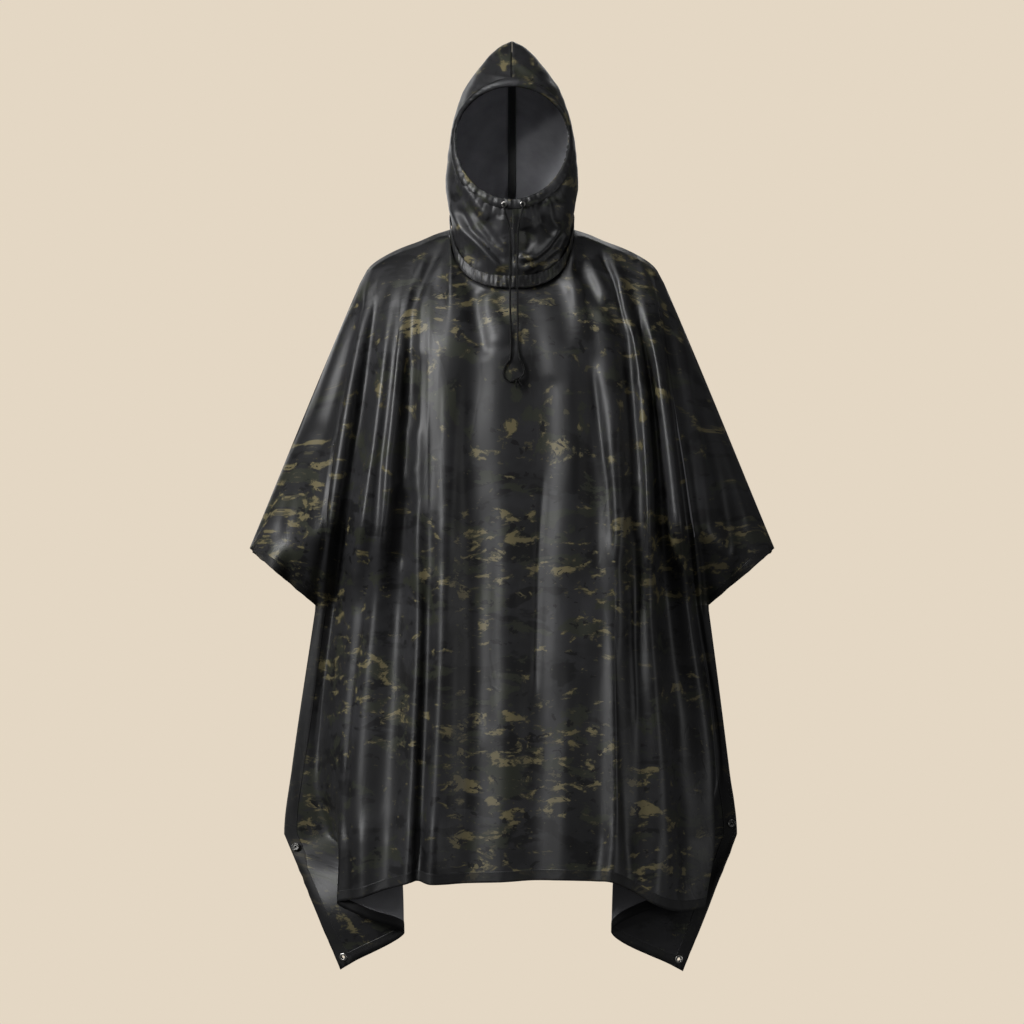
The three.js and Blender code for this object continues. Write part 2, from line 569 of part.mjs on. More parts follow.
// Strips that lie on the hood: points moved out along the hood's own direction
function hoodNormal(angle, up, hand) {
  const h = 0.004;
  const at = (a, b) => (
    new THREE.Vector3(...hoodPoint(clamp(a, 0.001, Math.PI - 0.001), clamp(b, 0, 1), hand)));
  const da = at(angle + h, up).sub(at(angle - h, up));
  const du = at(angle, up + h).sub(at(angle, up - h));
  const normal = da.cross(du).normalize();
  const centre = new THREE.Vector3(0, -10, 120);
  if (normal.dot(at(angle, up).sub(centre)) < 0) normal.negate();
  return normal.toArray();
}

// Gathered casing round the neck seam: each gather is one crest and one hollow of the strip
function neckBand() {
  const count = BAND.gathers * 2;
  const rows = [1, 0.5, 0];
  const grid = rows.map((share) => Array.from({ length: count + 1 }, (_, k) => {
    const turn = -Math.PI + (2 * Math.PI * (k % count)) / count;
    const [angle, hand] = [Math.abs(turn), turn < 0 ? -1 : 1];
    const seam = neckSeam(angle)[2];
    const beside = Math.sin(angle) ** 4;
    const up = (1 + 4.5 * beside + share * BAND.height) / (CROWN_Z - seam);
    const gather = (k % 2 ? 1 : -1) * (0.7 + 0.3 * Math.sin(3 * turn + 1)) * (1 - 0.4 * beside);
    const flare = 4 * ease(Math.cos(turn)) * (1 - share);
    const out = 4.4 - 1.9 * beside + ease(-Math.cos(turn)) + 1.1 * gather + flare;
    const point = hoodPoint(angle, up, hand);
    const normal = hoodNormal(angle, up, hand);
    if (Math.sin(angle) < 1e-6) [point[0], normal[0]] = [0, 0];
    const level = Math.hypot(normal[0], normal[1]);
    return add(point, [normal[0] / level, normal[1] / level, 0], out);
  }));
  return ringSolid(grid, BAND.wall);
}

// Closed ring of cloth: the last column is the first one again
function ringSolid(grid, wall) {
  const count = grid[0].length - 1;
  const positions = [];
  const faces = [];
  const rows = grid.length;
  const vector = (i, j) => new THREE.Vector3(...grid[clamp(i, 0, rows - 1)][((j % count) + count) % count]);
  for (let i = 0; i < rows; i += 1) {
    for (let j = 0; j < count; j += 1) {
      const across = vector(i, j + 1).sub(vector(i, j - 1));
      const down = vector(i + 1, j).sub(vector(i - 1, j));
      const normal = down.cross(across).normalize();
      const point = vector(i, j);
      positions.push(...point.toArray(), ...point.addScaledVector(normal, -wall).toArray());
    }
  }
  const at = (i, j, layer) => 2 * (i * count + (j % count)) + layer;
  const face = (a, b, c, d) => faces.push(a, b, c, a, c, d);
  for (let j = 0; j < count; j += 1) {
    for (let i = 0; i + 1 < rows; i += 1) {
      face(at(i, j, 0), at(i + 1, j, 0), at(i + 1, j + 1, 0), at(i, j + 1, 0));
      face(at(i, j, 1), at(i, j + 1, 1), at(i + 1, j + 1, 1), at(i + 1, j, 1));
    }
    face(at(0, j, 0), at(0, j + 1, 0), at(0, j + 1, 1), at(0, j, 1));
    face(at(rows - 1, j + 1, 0), at(rows - 1, j, 0), at(rows - 1, j, 1), at(rows - 1, j + 1, 1));
  }
  const geometry = new THREE.BufferGeometry();
  geometry.setAttribute('position', new THREE.Float32BufferAttribute(positions, 3));
  geometry.setIndex(faces);
  return geometry;
}

// Gathered drawcord channel round the face opening
function casingPoint(turn, share, out) {
  const t = turn <= 1 ? turn : 2 - turn;
  const hand = turn <= 1 ? -1 : 1;
  const inside = hoodAt(t, 0, hand);
  const width = CASING.width / Math.max(distance(inside, hoodAt(t, 0.1, hand)) * 10, 40);
  const edge = faceEdge(t);
  const [angle, up] = add(edge, add(outerEdge(t), edge, -1), width * share);
  const point = hoodPoint(angle, up, hand);
  const normal = hoodNormal(angle, up, hand);
  if (t < 1e-6 || t > 1 - 1e-6) [point[0], normal[0]] = [0, 0];
  return add(point, normal, out);
}
function faceCasing() {
  const count = CASING.gathers * 2;
  const rows = [0.02, 0.5, 1];
  const grid = rows.map((share, i) => Array.from({ length: count + 1 }, (_, k) => {
    const turn = (2 * (k % count)) / count;
    const low = 1 - ease(Math.min(turn, 2 - turn) / 0.75);
    const gather = (k % 2 ? 1 : -1) * (0.25 + 0.6 * low);
    const out = 1.2 + (i === 1 ? 2.6 : 0) + gather;
    return casingPoint(turn, share, out);
  }));
  return ringSolid(grid, CASING.wall);
}

// Tape over the seam inside the hood, from the nape up to the crown
function seamTape() {
  const across = [-1, -0.5, 0.5, 1];
  const ups = hoodShares.map((t) => outerEdge(t)).filter(([a, up]) => a === Math.PI && up > 0 && up < 0.97);
  const grid = ups.map(([, up]) => across.map((share) => {
    const z = lerp(NECK_SIDE_Z + 4, CROWN_Z, up);
    const half = column(HOOD, 'z', 'half', z);
    const angle = Math.PI - Math.asin(clamp((Math.abs(share) * TAPE.half) / half, 0, 0.9));
    const hand = share < 0 ? -1 : 1;
    return add(hoodPoint(angle, up, hand), hoodNormal(angle, up, hand), -(CLOTH + TAPE.inset));
  }));
  return clothSolid(grid, () => TAPE.wall);
}

// Metal rings: turned profiles [radius, height], with height 0 on the cloth's outer face. The cloth's
// inner face is at -wall, which is measured where the ring sits.
const RING_SIDES = 12;
const SEAT = { eyelet: 4.4, snap: 6.6, grommet: 7 };      // radius at which each ring rests on the cloth
const EYELET = () => [[2.15, CLEAR], [4.9, CLEAR], [4.7, 1.3], [3.2, 1.7], [2.15, 1.2]];
const SNAP = () => [[1.6, CLEAR], [7, CLEAR], [6.8, 1.9], [5, 2.3], [4, 1.2], [1.6, 1.2]];
const GROMMET = (wall) => [
  [3.1, 1.2], [5.2, 1.9], [7.5, CLEAR], [4.2, CLEAR],
  [4.2, -wall - CLEAR], [7.2, -wall - CLEAR], [5.2, -wall - 1.4], [3.1, -wall - 1.3],
];
// Where a ring of a given radius rests on a piece of cloth: its centre, direction and the wall there
function seat(geometry, { at, normal }, radius) {
  const cloth = new THREE.Mesh(geometry, new THREE.MeshBasicMaterial({ side: THREE.DoubleSide }));
  const reach = 12;
  const around = (axis, count, r) => {
    const turn = new THREE.Quaternion().setFromUnitVectors(new THREE.Vector3(0, 1, 0), axis);
    return Array.from({ length: count }, (_, k) => {
      const a = (2 * Math.PI * k) / count;
      return new THREE.Vector3(r * Math.cos(a), 0, r * Math.sin(a)).applyQuaternion(turn).add(at);
    });
  };
  const hit = (from, axis) => new THREE.Raycaster(from.clone().addScaledVector(axis, reach),
    axis.clone().negate(), 0, 2 * reach).intersectObject(cloth)[0]?.point;
  const [a, b, c] = around(normal, 3, radius).map((from) => hit(from, normal));
  const axis = b.clone().sub(a).cross(c.clone().sub(a)).normalize();
  if (axis.dot(normal) < 0) axis.negate();
  const back = axis.clone().negate();
  const spots = [...around(axis, 24, radius), ...around(axis, 12, radius * 0.65)];
  const heights = (direction) => spots.map((from) => hit(from, direction)).filter(Boolean)
    .map((point) => point.sub(at).dot(axis));
  const top = Math.max(...heights(axis));
  const bottom = Math.min(...heights(back));
  return { at: at.clone().addScaledVector(axis, top), normal: axis, wall: top - bottom };
}
function turned(profile, { at, normal, wall }) {
  const points = profile(wall).map(([radius, height]) => new THREE.Vector2(radius, height));
  if (THREE.ShapeUtils.area(points) < 0) points.reverse();
  const geometry = new THREE.LatheGeometry([...points, points[0]], RING_SIDES);
  const turn = new THREE.Quaternion().setFromUnitVectors(new THREE.Vector3(0, 1, 0), normal);
  return geometry.applyQuaternion(turn).translate(at.x, at.y, at.z);
}

// Drawcord: each strand leaves its eyelet, hangs down the front of the throat, lies on the chest and
// ends in the knot
const CORD_STEPS = 34;
const CORD_SIDES = 8;
const CHIN_EYELETS = [
  { name: 'chin_eyelet_left', x: -13.6, z: 58 },
  { name: 'chin_eyelet_right', x: 18.7, z: 58 },
];
const CORD_LEFT = [
  [-13.6, -132.7, 58], [-13.6, -136.3, 57.8], [-13.3, -140.6, 55], [-12.4, -142.4, 49.5],
  [-10.6, -142.2, 41], [-7.2, -141.4, 30], [-4.6, -140.8, 15], [-3.6, -140.2, -5],
  [-3.4, -139.6, -30], [-3.4, -139.2, -60], [-3.2, -139, -90], [-3, -139, -115],
  [-2.6, -139.8, -138], [-2.2, -141.6, -160], [-2, -146, -180], [-2.2, -150.4, -195],
  [-5, -152.4, -206], [-11, -153.9, -215], [-14.6, -155.4, -226], [-12.6, -156, -235.5],
  [-6, -155.9, -241], [-0.5, -155.7, -241.6], [4.6, -155.7, -240.2],
];
const CORD_RIGHT = [
  [18.7, -131.5, 58], [18.7, -135.2, 57.8], [18.3, -139.8, 55], [17.4, -141.6, 49.5],
  [15.4, -141.5, 41], [12.4, -141, 30], [10.2, -140.4, 15], [9.4, -139.8, -5],
  [9.2, -139.2, -30], [9.2, -138.9, -60], [9.2, -138.7, -90], [9.4, -138.7, -115],
  [9.6, -139.4, -138], [9.8, -141.2, -160], [10.2, -145.4, -180], [11.2, -149.4, -195],
  [14.6, -150.6, -206], [19.2, -151.4, -216], [20.4, -152.8, -226], [18.6, -154.2, -232],
  [14.7, -155.5, -235.6],
];
const CORD_TAILS = [
  { x: 9, z: -246, lean: -0.35 },
  { x: 13, z: -245, lean: 0.5 },
];
function cordTube(route) {
  const path = new THREE.CatmullRomCurve3(route.map((point) => new THREE.Vector3(...point)));
  const section = new THREE.Shape().absarc(0, 0, CORD / 2, 0, 2 * Math.PI);
  const curveSegments = CORD_SIDES / 2;
  return new THREE.ExtrudeGeometry(section, { steps: CORD_STEPS, extrudePath: path, curveSegments });
}
function knotGeometry() {
  const ball = new THREE.SphereGeometry(KNOT.radius, 12, 8).translate(KNOT.x, KNOT.y, KNOT.z);
  return fromManifold(CORD_TAILS.reduce((solid, { x, z, lean }) => {
    const tail = new THREE.CylinderGeometry(CORD / 2, CORD / 2, KNOT.tail, CORD_SIDES).rotateX(Math.PI / 2);
    return solid.add(toManifold(tail.rotateY(lean).translate(x, KNOT.y, z)));
  }, toManifold(ball)));
}

// The part
const front = bodyPanel(FRONT_FOLDS, 'front');
const back = bodyPanel(BACK_FOLDS, 'back');
const SNAPS = [
  { name: 'snap_front_left', panel: front, x: -368, z: -1034, u: 0.5, s: 4.1 },
  { name: 'snap_front_right', panel: front, x: 375, z: -994, u: 23.5, s: 3.8 },
  { name: 'snap_back_left', panel: back, x: -368, z: -1034, u: 0.5, s: 4.1 },
  { name: 'snap_back_right', panel: back, x: 375, z: -994, u: 15.5, s: 3.8 },
];
const GROMMETS = [
  { name: 'grommet_front_left', panel: front, x: -287, z: -1219, u: 0.4, s: 4.9 },
  { name: 'grommet_front_right', panel: front, x: 284, z: -1223, u: 23.6, s: 4.9 },
  { name: 'grommet_back_left', panel: back, x: -279, z: -1206, u: 0.4, s: 4.9 },
  { name: 'grommet_back_right', panel: back, x: 276, z: -1208, u: 15.6, s: 4.9 },
];
const poncho = new THREE.Group();
function piece(name, geometry, look) {
  geometry.computeVertexNormals();
  const mesh = new THREE.Mesh(geometry, new THREE.MeshStandardMaterial(look));
  mesh.name = name;
  poncho.add(mesh);
}
function holed(geometry, places) {
  let solid = toManifold(geometry);
  for (const { at, normal } of places) {
    const punch = new THREE.CylinderGeometry(CORNER_HOLE, CORNER_HOLE, 14, 14);
    const turn = new THREE.Quaternion().setFromUnitVectors(new THREE.Vector3(0, 1, 0), normal);
    punch.applyQuaternion(turn).translate(at.x, at.y, at.z);
    solid = solid.subtract(toManifold(punch));
  }
  return fromManifold(solid);
}

const plain = new Map([[front, panelGeometry(front)], [back, panelGeometry(back)]]);
const settle = (spot, radius) => ({
  ...spot,
  ...seat(plain.get(spot.panel), locate(spot.panel, spot.x, spot.z, spot.u, spot.s), radius),
});
const corners = GROMMETS.map((spot) => settle(spot, SEAT.grommet));
const snaps = SNAPS.map((spot) => settle(spot, SEAT.snap));
for (const [name, panel] of [['front_panel', front], ['back_panel', back]]) {
  piece(name, holed(plain.get(panel), corners.filter((spot) => spot.panel === panel)), CLOTH_LOOK);
}
piece('hood_left', hoodHalf(-1), CLOTH_LOOK);
piece('hood_right', hoodHalf(1), CLOTH_LOOK);
piece('neck_band', neckBand(), CLOTH_LOOK);
const faceCasingGeometry = faceCasing();
piece('face_casing', faceCasingGeometry, CLOTH_LOOK);
piece('hood_seam_tape', seamTape(), TAPE_LOOK);
corners.forEach((spot) => piece(spot.name, turned(GROMMET, spot), METAL_LOOK));
snaps.forEach((spot) => piece(spot.name, turned(SNAP, spot), METAL_LOOK));

for (const { name, x, z } of CHIN_EYELETS) {
  const at = new THREE.Vector3(x, CORD_LEFT[0][1], z);
  const normal = new THREE.Vector3(0, -1, 0);
  piece(name, turned(EYELET, seat(faceCasingGeometry, { at, normal }, SEAT.eyelet)), METAL_LOOK);
}
piece('drawcord_left', cordTube(CORD_LEFT), CORD_LOOK);
piece('drawcord_right', cordTube(CORD_RIGHT), CORD_LOOK);
piece('drawcord_knot', knotGeometry(), CORD_LOOK);

export default poncho;
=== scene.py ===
"""Looks of the rain poncho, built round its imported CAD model. Surfaces are worked out in millimetres with
the same sizes, tables and functions as the solids, and become meshes in metres."""
import math

import bmesh
import bpy
import numpy as np
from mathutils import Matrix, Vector


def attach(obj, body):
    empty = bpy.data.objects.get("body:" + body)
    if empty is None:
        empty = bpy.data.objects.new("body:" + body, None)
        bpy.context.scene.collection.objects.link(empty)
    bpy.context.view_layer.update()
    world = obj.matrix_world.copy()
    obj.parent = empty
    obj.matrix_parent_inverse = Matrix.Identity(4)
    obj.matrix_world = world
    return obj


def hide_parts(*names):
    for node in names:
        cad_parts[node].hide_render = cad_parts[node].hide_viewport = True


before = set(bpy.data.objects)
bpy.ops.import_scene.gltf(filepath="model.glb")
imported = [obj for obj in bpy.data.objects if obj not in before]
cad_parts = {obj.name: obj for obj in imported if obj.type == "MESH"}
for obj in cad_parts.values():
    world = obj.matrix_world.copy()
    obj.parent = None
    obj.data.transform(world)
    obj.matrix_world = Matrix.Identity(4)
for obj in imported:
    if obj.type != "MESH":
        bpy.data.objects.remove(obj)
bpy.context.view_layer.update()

# Driving sizes, as in the solids
CLOTH = 1.2
HEM_EXTRA = 0.7
SEAM = 0.15
HEM_WIDTH = 18.0
NECK_HALF = 105.0
NECK_DROP = 83.0
NECK_SIDE_Z = 20.0
CHEST_Z, NOTCH_Z, KNEE_Z, SNAP_Z, FOLD_Z = -272.0, -622.0, -901.0, -1012.0, -1088.0
SLEEVE_TIP = (448.0, -524.0)
SHOULDER_DEPTH, SIDE_DEPTH = 260.0, 210.0
FACE = {"half": 96.0, "middle": 172.0, "up": 85.0, "down": 105.0}
CROWN_Z, CROWN_RISE = 338.0, 2.5
NECK_LIFT, NECK_INSET = 0.8, 2.4
HOOD_COLUMNS = 26
HOOD_NAPE = 12 / HOOD_COLUMNS
HOOD_CROWN = 0.88

RIDGE = [(NECK_HALF, NECK_SIDE_Z), (130, 12), (158, 0), (190, -12), (220, -27), (240, -41), (253, -58),
         (264, -82), SLEEVE_TIP]
SIDE = [(335, NOTCH_Z), (374, KNEE_Z), (387, SNAP_Z), (387, -1400)]

# Depth of the hanging cloth at each height: z, front, back
DEPTH = [(-1250, 195, 178), (SNAP_Z, 188, 172), (NOTCH_Z, 172, 160), (-200, 150, 148), (-83, 122, 132),
         (24, 98, 106)]

# Hood sections: z, half width, front, back, middle, and how round the front of the section is
HOOD = [
    (-90, 105, -112, 85, -4, 0.8), (20, 105, -124, 86, -6, 0.7), (60, 109, -127, 96, -10, 0.64),
    (95, 113, -125, 105, -14, 0.62), (150, 109, -122, 113, -15, 0.62), (200, 101, -122, 108, -15, 0.62),
    (230, 92, -124, 97, -16, 0.64), (258, 81, -124, 82, -18, 0.7), (280, 66, -108, 66, -18, 0.8),
    (300, 51, -86, 48, -16, 0.9), (318, 35, -62, 30, -14, 1), (330, 19, -46, 18, -13, 1),
    (CROWN_Z, 0, -34, 10, -12, 1),
]
HOOD_KEYS = {"half": 1, "front": 2, "back": 3, "middle": 4, "round": 5}

# Folds of the throat as in the solids: x1, z1, x2, z2, how far they stand out, width
HOOD_FOLDS = [
    (-97, 29, -26, -48, 7, 13), (-100, 14, -56, -30, -5, 10), (94, 16, 34, -37, 7, 12),
    (34, -33, 14, -46, 6, 12), (-62, 52, 8, -36, -5, 12), (70, 60, 20, -14, -5, 12),
    (-86, 100, -50, 40, 4, 11), (88, 96, 56, 44, 4, 11),
]

# Folds of the body, a row for each crest or trough: x at the top, chest, notch, knee, snap and hem, z at
# the hem, how far it stands out at the chest, notch, knee and hem, and for folded-back corners y at the
# hem and x and stand-out just under the hem
FRONT_FOLDS = [
    (-248, -286, -335, -376, -389, -292, -1241, -8, 0, 0, 0, -50),
    (-239, -277, -323, -354, -365, -269, -1227, 4, 0, 0, 0, -60),
    (-222, -254, -304, -330, -310, -185, -1176, -21, -31, -30, -13, -90, -187, -96),
    (-211, -239, -287, -311, -300, -245, -1151, -5, -10, -13, 0, -114, -242, -58),
    (-199, -224, -268, -288, -291, -297, -1125, 10, 16, 16, 13),
    (-189, -213, -249, -276, -277, -277, -1119, 4, 1, 4, 5),
    (-180, -202, -231, -255, -257, -255, -1115, 10, 12, 13, 10),
    (-165, -178, -192, -207, -211, -214, -1100, -18, -29, -26, -16),
    (-150, -156, -158, -165, -171, -177, -1089, 1, 6, 6, 5),
    (-136, -140, -142, -150, -156, -160, -1084, -8, -6, -8, -5),
    (-105, -121, -116, -126, -133, -139, -1090, 10, 17, 18, 16),
    (-74.2, -76, -63, -65, -68, -75, -1088, -9, -10, -10, -8),
    (-27.2, -22, -10, -8, -10, -15, -1086, 4, 5, 6, 6),
    (27.2, 54, 46, 39, 37, 36, -1083, -8, -9, -8, -5),
    (74.2, 95, 95, 93, 92, 87, -1083, 4, 5, 6, 8),
    (105, 138, 153, 152, 149, 143, -1085, -10, -8, -6, -5),
    (129, 170, 176, 175, 171, 166, -1086, 10, 13, 13, 10),
    (150, 201, 211, 209, 206, 199, -1100, -12, -16, -14, -9),
    (170, 222, 234, 252, 253, 245, -1127, 8, 10, 10, 8),
    (187, 239, 265, 291, 296, 289, -1139, -21, -31, -27, 4),
    (207, 255, 297, 340, 346, 328, -1134, 10, 12, 13, 10),
    (219, 263, 307, 346, 324, 253, -1131, 1, -3, -5, 0, -94, 250, -60),
    (230, 270, 315, 354, 304, 170, -1176, -8, -12, -2, -10, -76, 172, -108),
    (239, 277, 324, 361, 366, 271, -1233, -4, 0, 0, 0, -54, 334, -32),
    (248, 284, 335, 371, 384, 291, -1244, -8, 0, 0, 0, -46),
]
BACK_FOLDS = [
    (-248, -286, -335, -376, -389, -284, -1226, -8, 0, 0, 0, 50),
    (-239, -277, -323, -354, -365, -262, -1214, 4, 0, 0, 0, 58),
    (-224, -254, -300, -328, -314, -196, -1150, -16, -23, -26, -10, 82, -226, -72),
    (-206, -232, -274, -300, -300, -288, -1104, 10, 14, 16, 13),
    (-178, -198, -226, -244, -246, -236, -1090, -16, -23, -23, -16),
    (-146, -160, -176, -190, -194, -186, -1080, 12, 16, 16, 13),
    (-105, -112, -118, -130, -134, -132, -1076, -10, -13, -16, -10),
    (-74.2, -66, -64, -70, -72, -74, -1074, 8, 12, 12, 10),
    (-27.2, -12, -4, -6, -8, -8, -1074, -8, -10, -10, -8),
    (27.2, 44, 56, 58, 58, 56, -1074, 6, 10, 12, 10),
    (74.2, 98, 112, 118, 120, 116, -1075, -12, -16, -16, -10),
    (105, 140, 162, 176, 178, 172, -1078, 10, 13, 14, 13),
    (170, 188, 214, 232, 236, 228, -1088, -16, -23, -23, -16),
    (202, 230, 270, 298, 300, 284, -1102, 10, 14, 16, 13),
    (222, 254, 298, 328, 312, 190, -1148, -14, -22, -25, -10, 82, 224, -72),
    (239, 277, 323, 352, 362, 260, -1216, 4, 0, 0, 0, 56),
    (248, 284, 335, 371, 384, 282, -1228, -8, 0, 0, 0, 48),
]

# Folds of the sleeves: where between body (0) and tip (1), how far they stand out, width
SLEEVE_FOLDS = [(0.16, 9, 0.12), (0.42, -13, 0.14), (0.72, 7, 0.14)]


# Arithmetic on numbers and arrays
def lerp(a, b, t):
    return a + (b - a) * t


def ease(t):
    s = np.clip(t, 0, 1)
    return s * s * (3 - 2 * s)


def soft_min(a, b, k):
    h = np.clip(0.5 + (b - a) / (2 * k), 0, 1)
    return lerp(b, a, h) - k * h * (1 - h)


def through(knots, at):
    """A smooth curve through knots (at, value) that makes no bumps between them."""
    xs, ys = np.array(sorted(knots), dtype=float).T
    slope = np.diff(ys) / np.diff(xs)
    tangent = np.empty(len(xs))
    tangent[0], tangent[-1] = slope[0], slope[-1]
    a, b = slope[:-1], slope[1:]
    both = a + b
    tangent[1:-1] = np.where(a * b <= 0, 0, 2 * a * b / np.where(both == 0, 1, both))
    at = np.clip(at, xs[0], xs[-1])
    i = np.clip(np.searchsorted(xs, at, side="right") - 1, 0, len(slope) - 1)
    h = xs[i + 1] - xs[i]
    t = (at - xs[i]) / h
    return (ys[i] * (1 + 2 * t) * (1 - t) ** 2 + ys[i + 1] * t * t * (3 - 2 * t)
            + h * (tangent[i] * t * (1 - t) ** 2 + tangent[i + 1] * t * t * (t - 1)))


def path_distance(path, x, z):
    least = np.full(np.broadcast(x, z).shape, np.inf)
    for (ax, az), (bx, bz) in zip(path, path[1:]):
        dx, dz = bx - ax, bz - az
        t = np.clip(((x - ax) * dx + (z - az) * dz) / (dx * dx + dz * dz), 0, 1)
        least = np.minimum(least, np.hypot(x - ax - t * dx, z - az - t * dz))
    return least


def stand_off(x, z, side):
    """How far the cloth stands off the plane of the shoulders, seen from the front at x, z."""
    across = np.abs(x)
    full = through([(row[0], row[1 if side == "front" else 2]) for row in DEPTH], z)
    slim = 1 - 0.42 * ease((across - 270) / 170) * ease((z + 760) / 160)
    from_ridge = soft_min(path_distance(RIDGE, across, z), path_distance(RIDGE, -across, z), 60)
    over_arm = np.sqrt(1 - (1 - np.minimum(from_ridge / SHOULDER_DEPTH, 1)) ** 2)
    from_side = path_distance(SIDE, across, z)
    fin = lerp(8, 24, ease((NOTCH_Z - z) / (NOTCH_Z - SNAP_Z)))
    opened = np.sin((np.pi / 2) * np.clip((from_side - fin) / SIDE_DEPTH, 0, 1))
    edge = 3 * (1 - np.exp(-from_side / 1.5)) + 0.08 * np.minimum(from_side, fin)
    return soft_min(full * slim * over_arm, edge + full * slim * opened, 12)


def neck_seam(angle):
    """The neck seam by its angle round the neck from the front (0) to the nape (pi)."""
    s, c = np.sin(angle), np.cos(angle)
    x = NECK_HALF * s
    z_front = -NECK_DROP + (NECK_DROP + NECK_SIDE_Z) * np.maximum(1 - c, 0) ** 1.3
    z_back = NECK_SIDE_Z - 4 * c
    z = np.where(c > 0, z_front, z_back)
    y = np.where(c > 0, -stand_off(x, z, "front"), stand_off(x, z, "back"))
    return np.stack([x, y, z], axis=-1)


def ridge_z(x):
    return through(RIDGE, np.abs(x))


def catmull(points, t):
    """Centripetal curve through points (..., n, 3), at points[i] for t = i."""
    before = 2 * points[..., :1, :] - points[..., 1:2, :]
    after = 2 * points[..., -1:, :] - points[..., -2:-1, :]
    padded = np.concatenate([before, points, after], axis=-2)
    i = np.clip(np.floor(t).astype(int), 0, points.shape[-2] - 2)
    local = (t - i)[..., :, None]
    four = [padded[..., i + k, :] for k in range(4)]
    knot = [np.zeros(four[0].shape[:-1] + (1,))]
    for a, b in zip(four, four[1:]):
        knot.append(knot[-1] + np.sqrt(np.linalg.norm(b - a, axis=-1, keepdims=True)) + 1e-6)
    at = lerp(knot[1], knot[2], local)

    def mix(a, b, low, high):
        return (a * (high - at) + b * (at - low)) / (high - low)
    first = [mix(four[k], four[k + 1], knot[k], knot[k + 1]) for k in range(3)]
    second = [mix(first[k], first[k + 1], knot[k], knot[k + 2]) for k in range(2)]
    return mix(second[0], second[1], knot[1], knot[2])


def waves(seed, p, q, size, count=9):
    """Uneven waves of about the given size over two lengths, between about -1 and 1."""
    draw = np.random.RandomState(seed)
    total = 0
    for _ in range(count):
        angle = draw.uniform(0, 2 * np.pi)
        rate = 2 * np.pi / (size * draw.uniform(0.7, 1.5))
        total = total + np.sin(rate * (p * np.cos(angle) + q * np.sin(angle)) + draw.uniform(0, 2 * np.pi))
    return total / math.sqrt(count / 2)


def creases(table, x, z):
    """Soft troughs and ridges through points seen from the front: out, width, points x, z. They fade
    out over the first and last part of their length."""
    total = np.zeros(np.broadcast(x, z).shape)
    for height, width, points in table:
        best = np.full(total.shape, np.inf)
        part = np.zeros(total.shape)
        lengths = [math.hypot(b[0] - a[0], b[1] - a[1]) for a, b in zip(points, points[1:])]
        whole, done = sum(lengths), 0.0
        for (ax, az), (bx, bz), length in zip(points, points[1:], lengths):
            dx, dz = bx - ax, bz - az
            t = ((x - ax) * dx + (z - az) * dz) / (length * length)
            inside = np.clip(t, 0, 1)
            away = np.hypot(x - ax - inside * dx, z - az - inside * dz)
            nearer = away < best
            best = np.where(nearer, away, best)
            part = np.where(nearer, (done + inside * length) / whole, part)
            done += length
        fade = ease(part / 0.14) * ease((1 - part) / 0.14)
        total = total + height * fade * np.exp(-(best / width) ** 2)
    return total


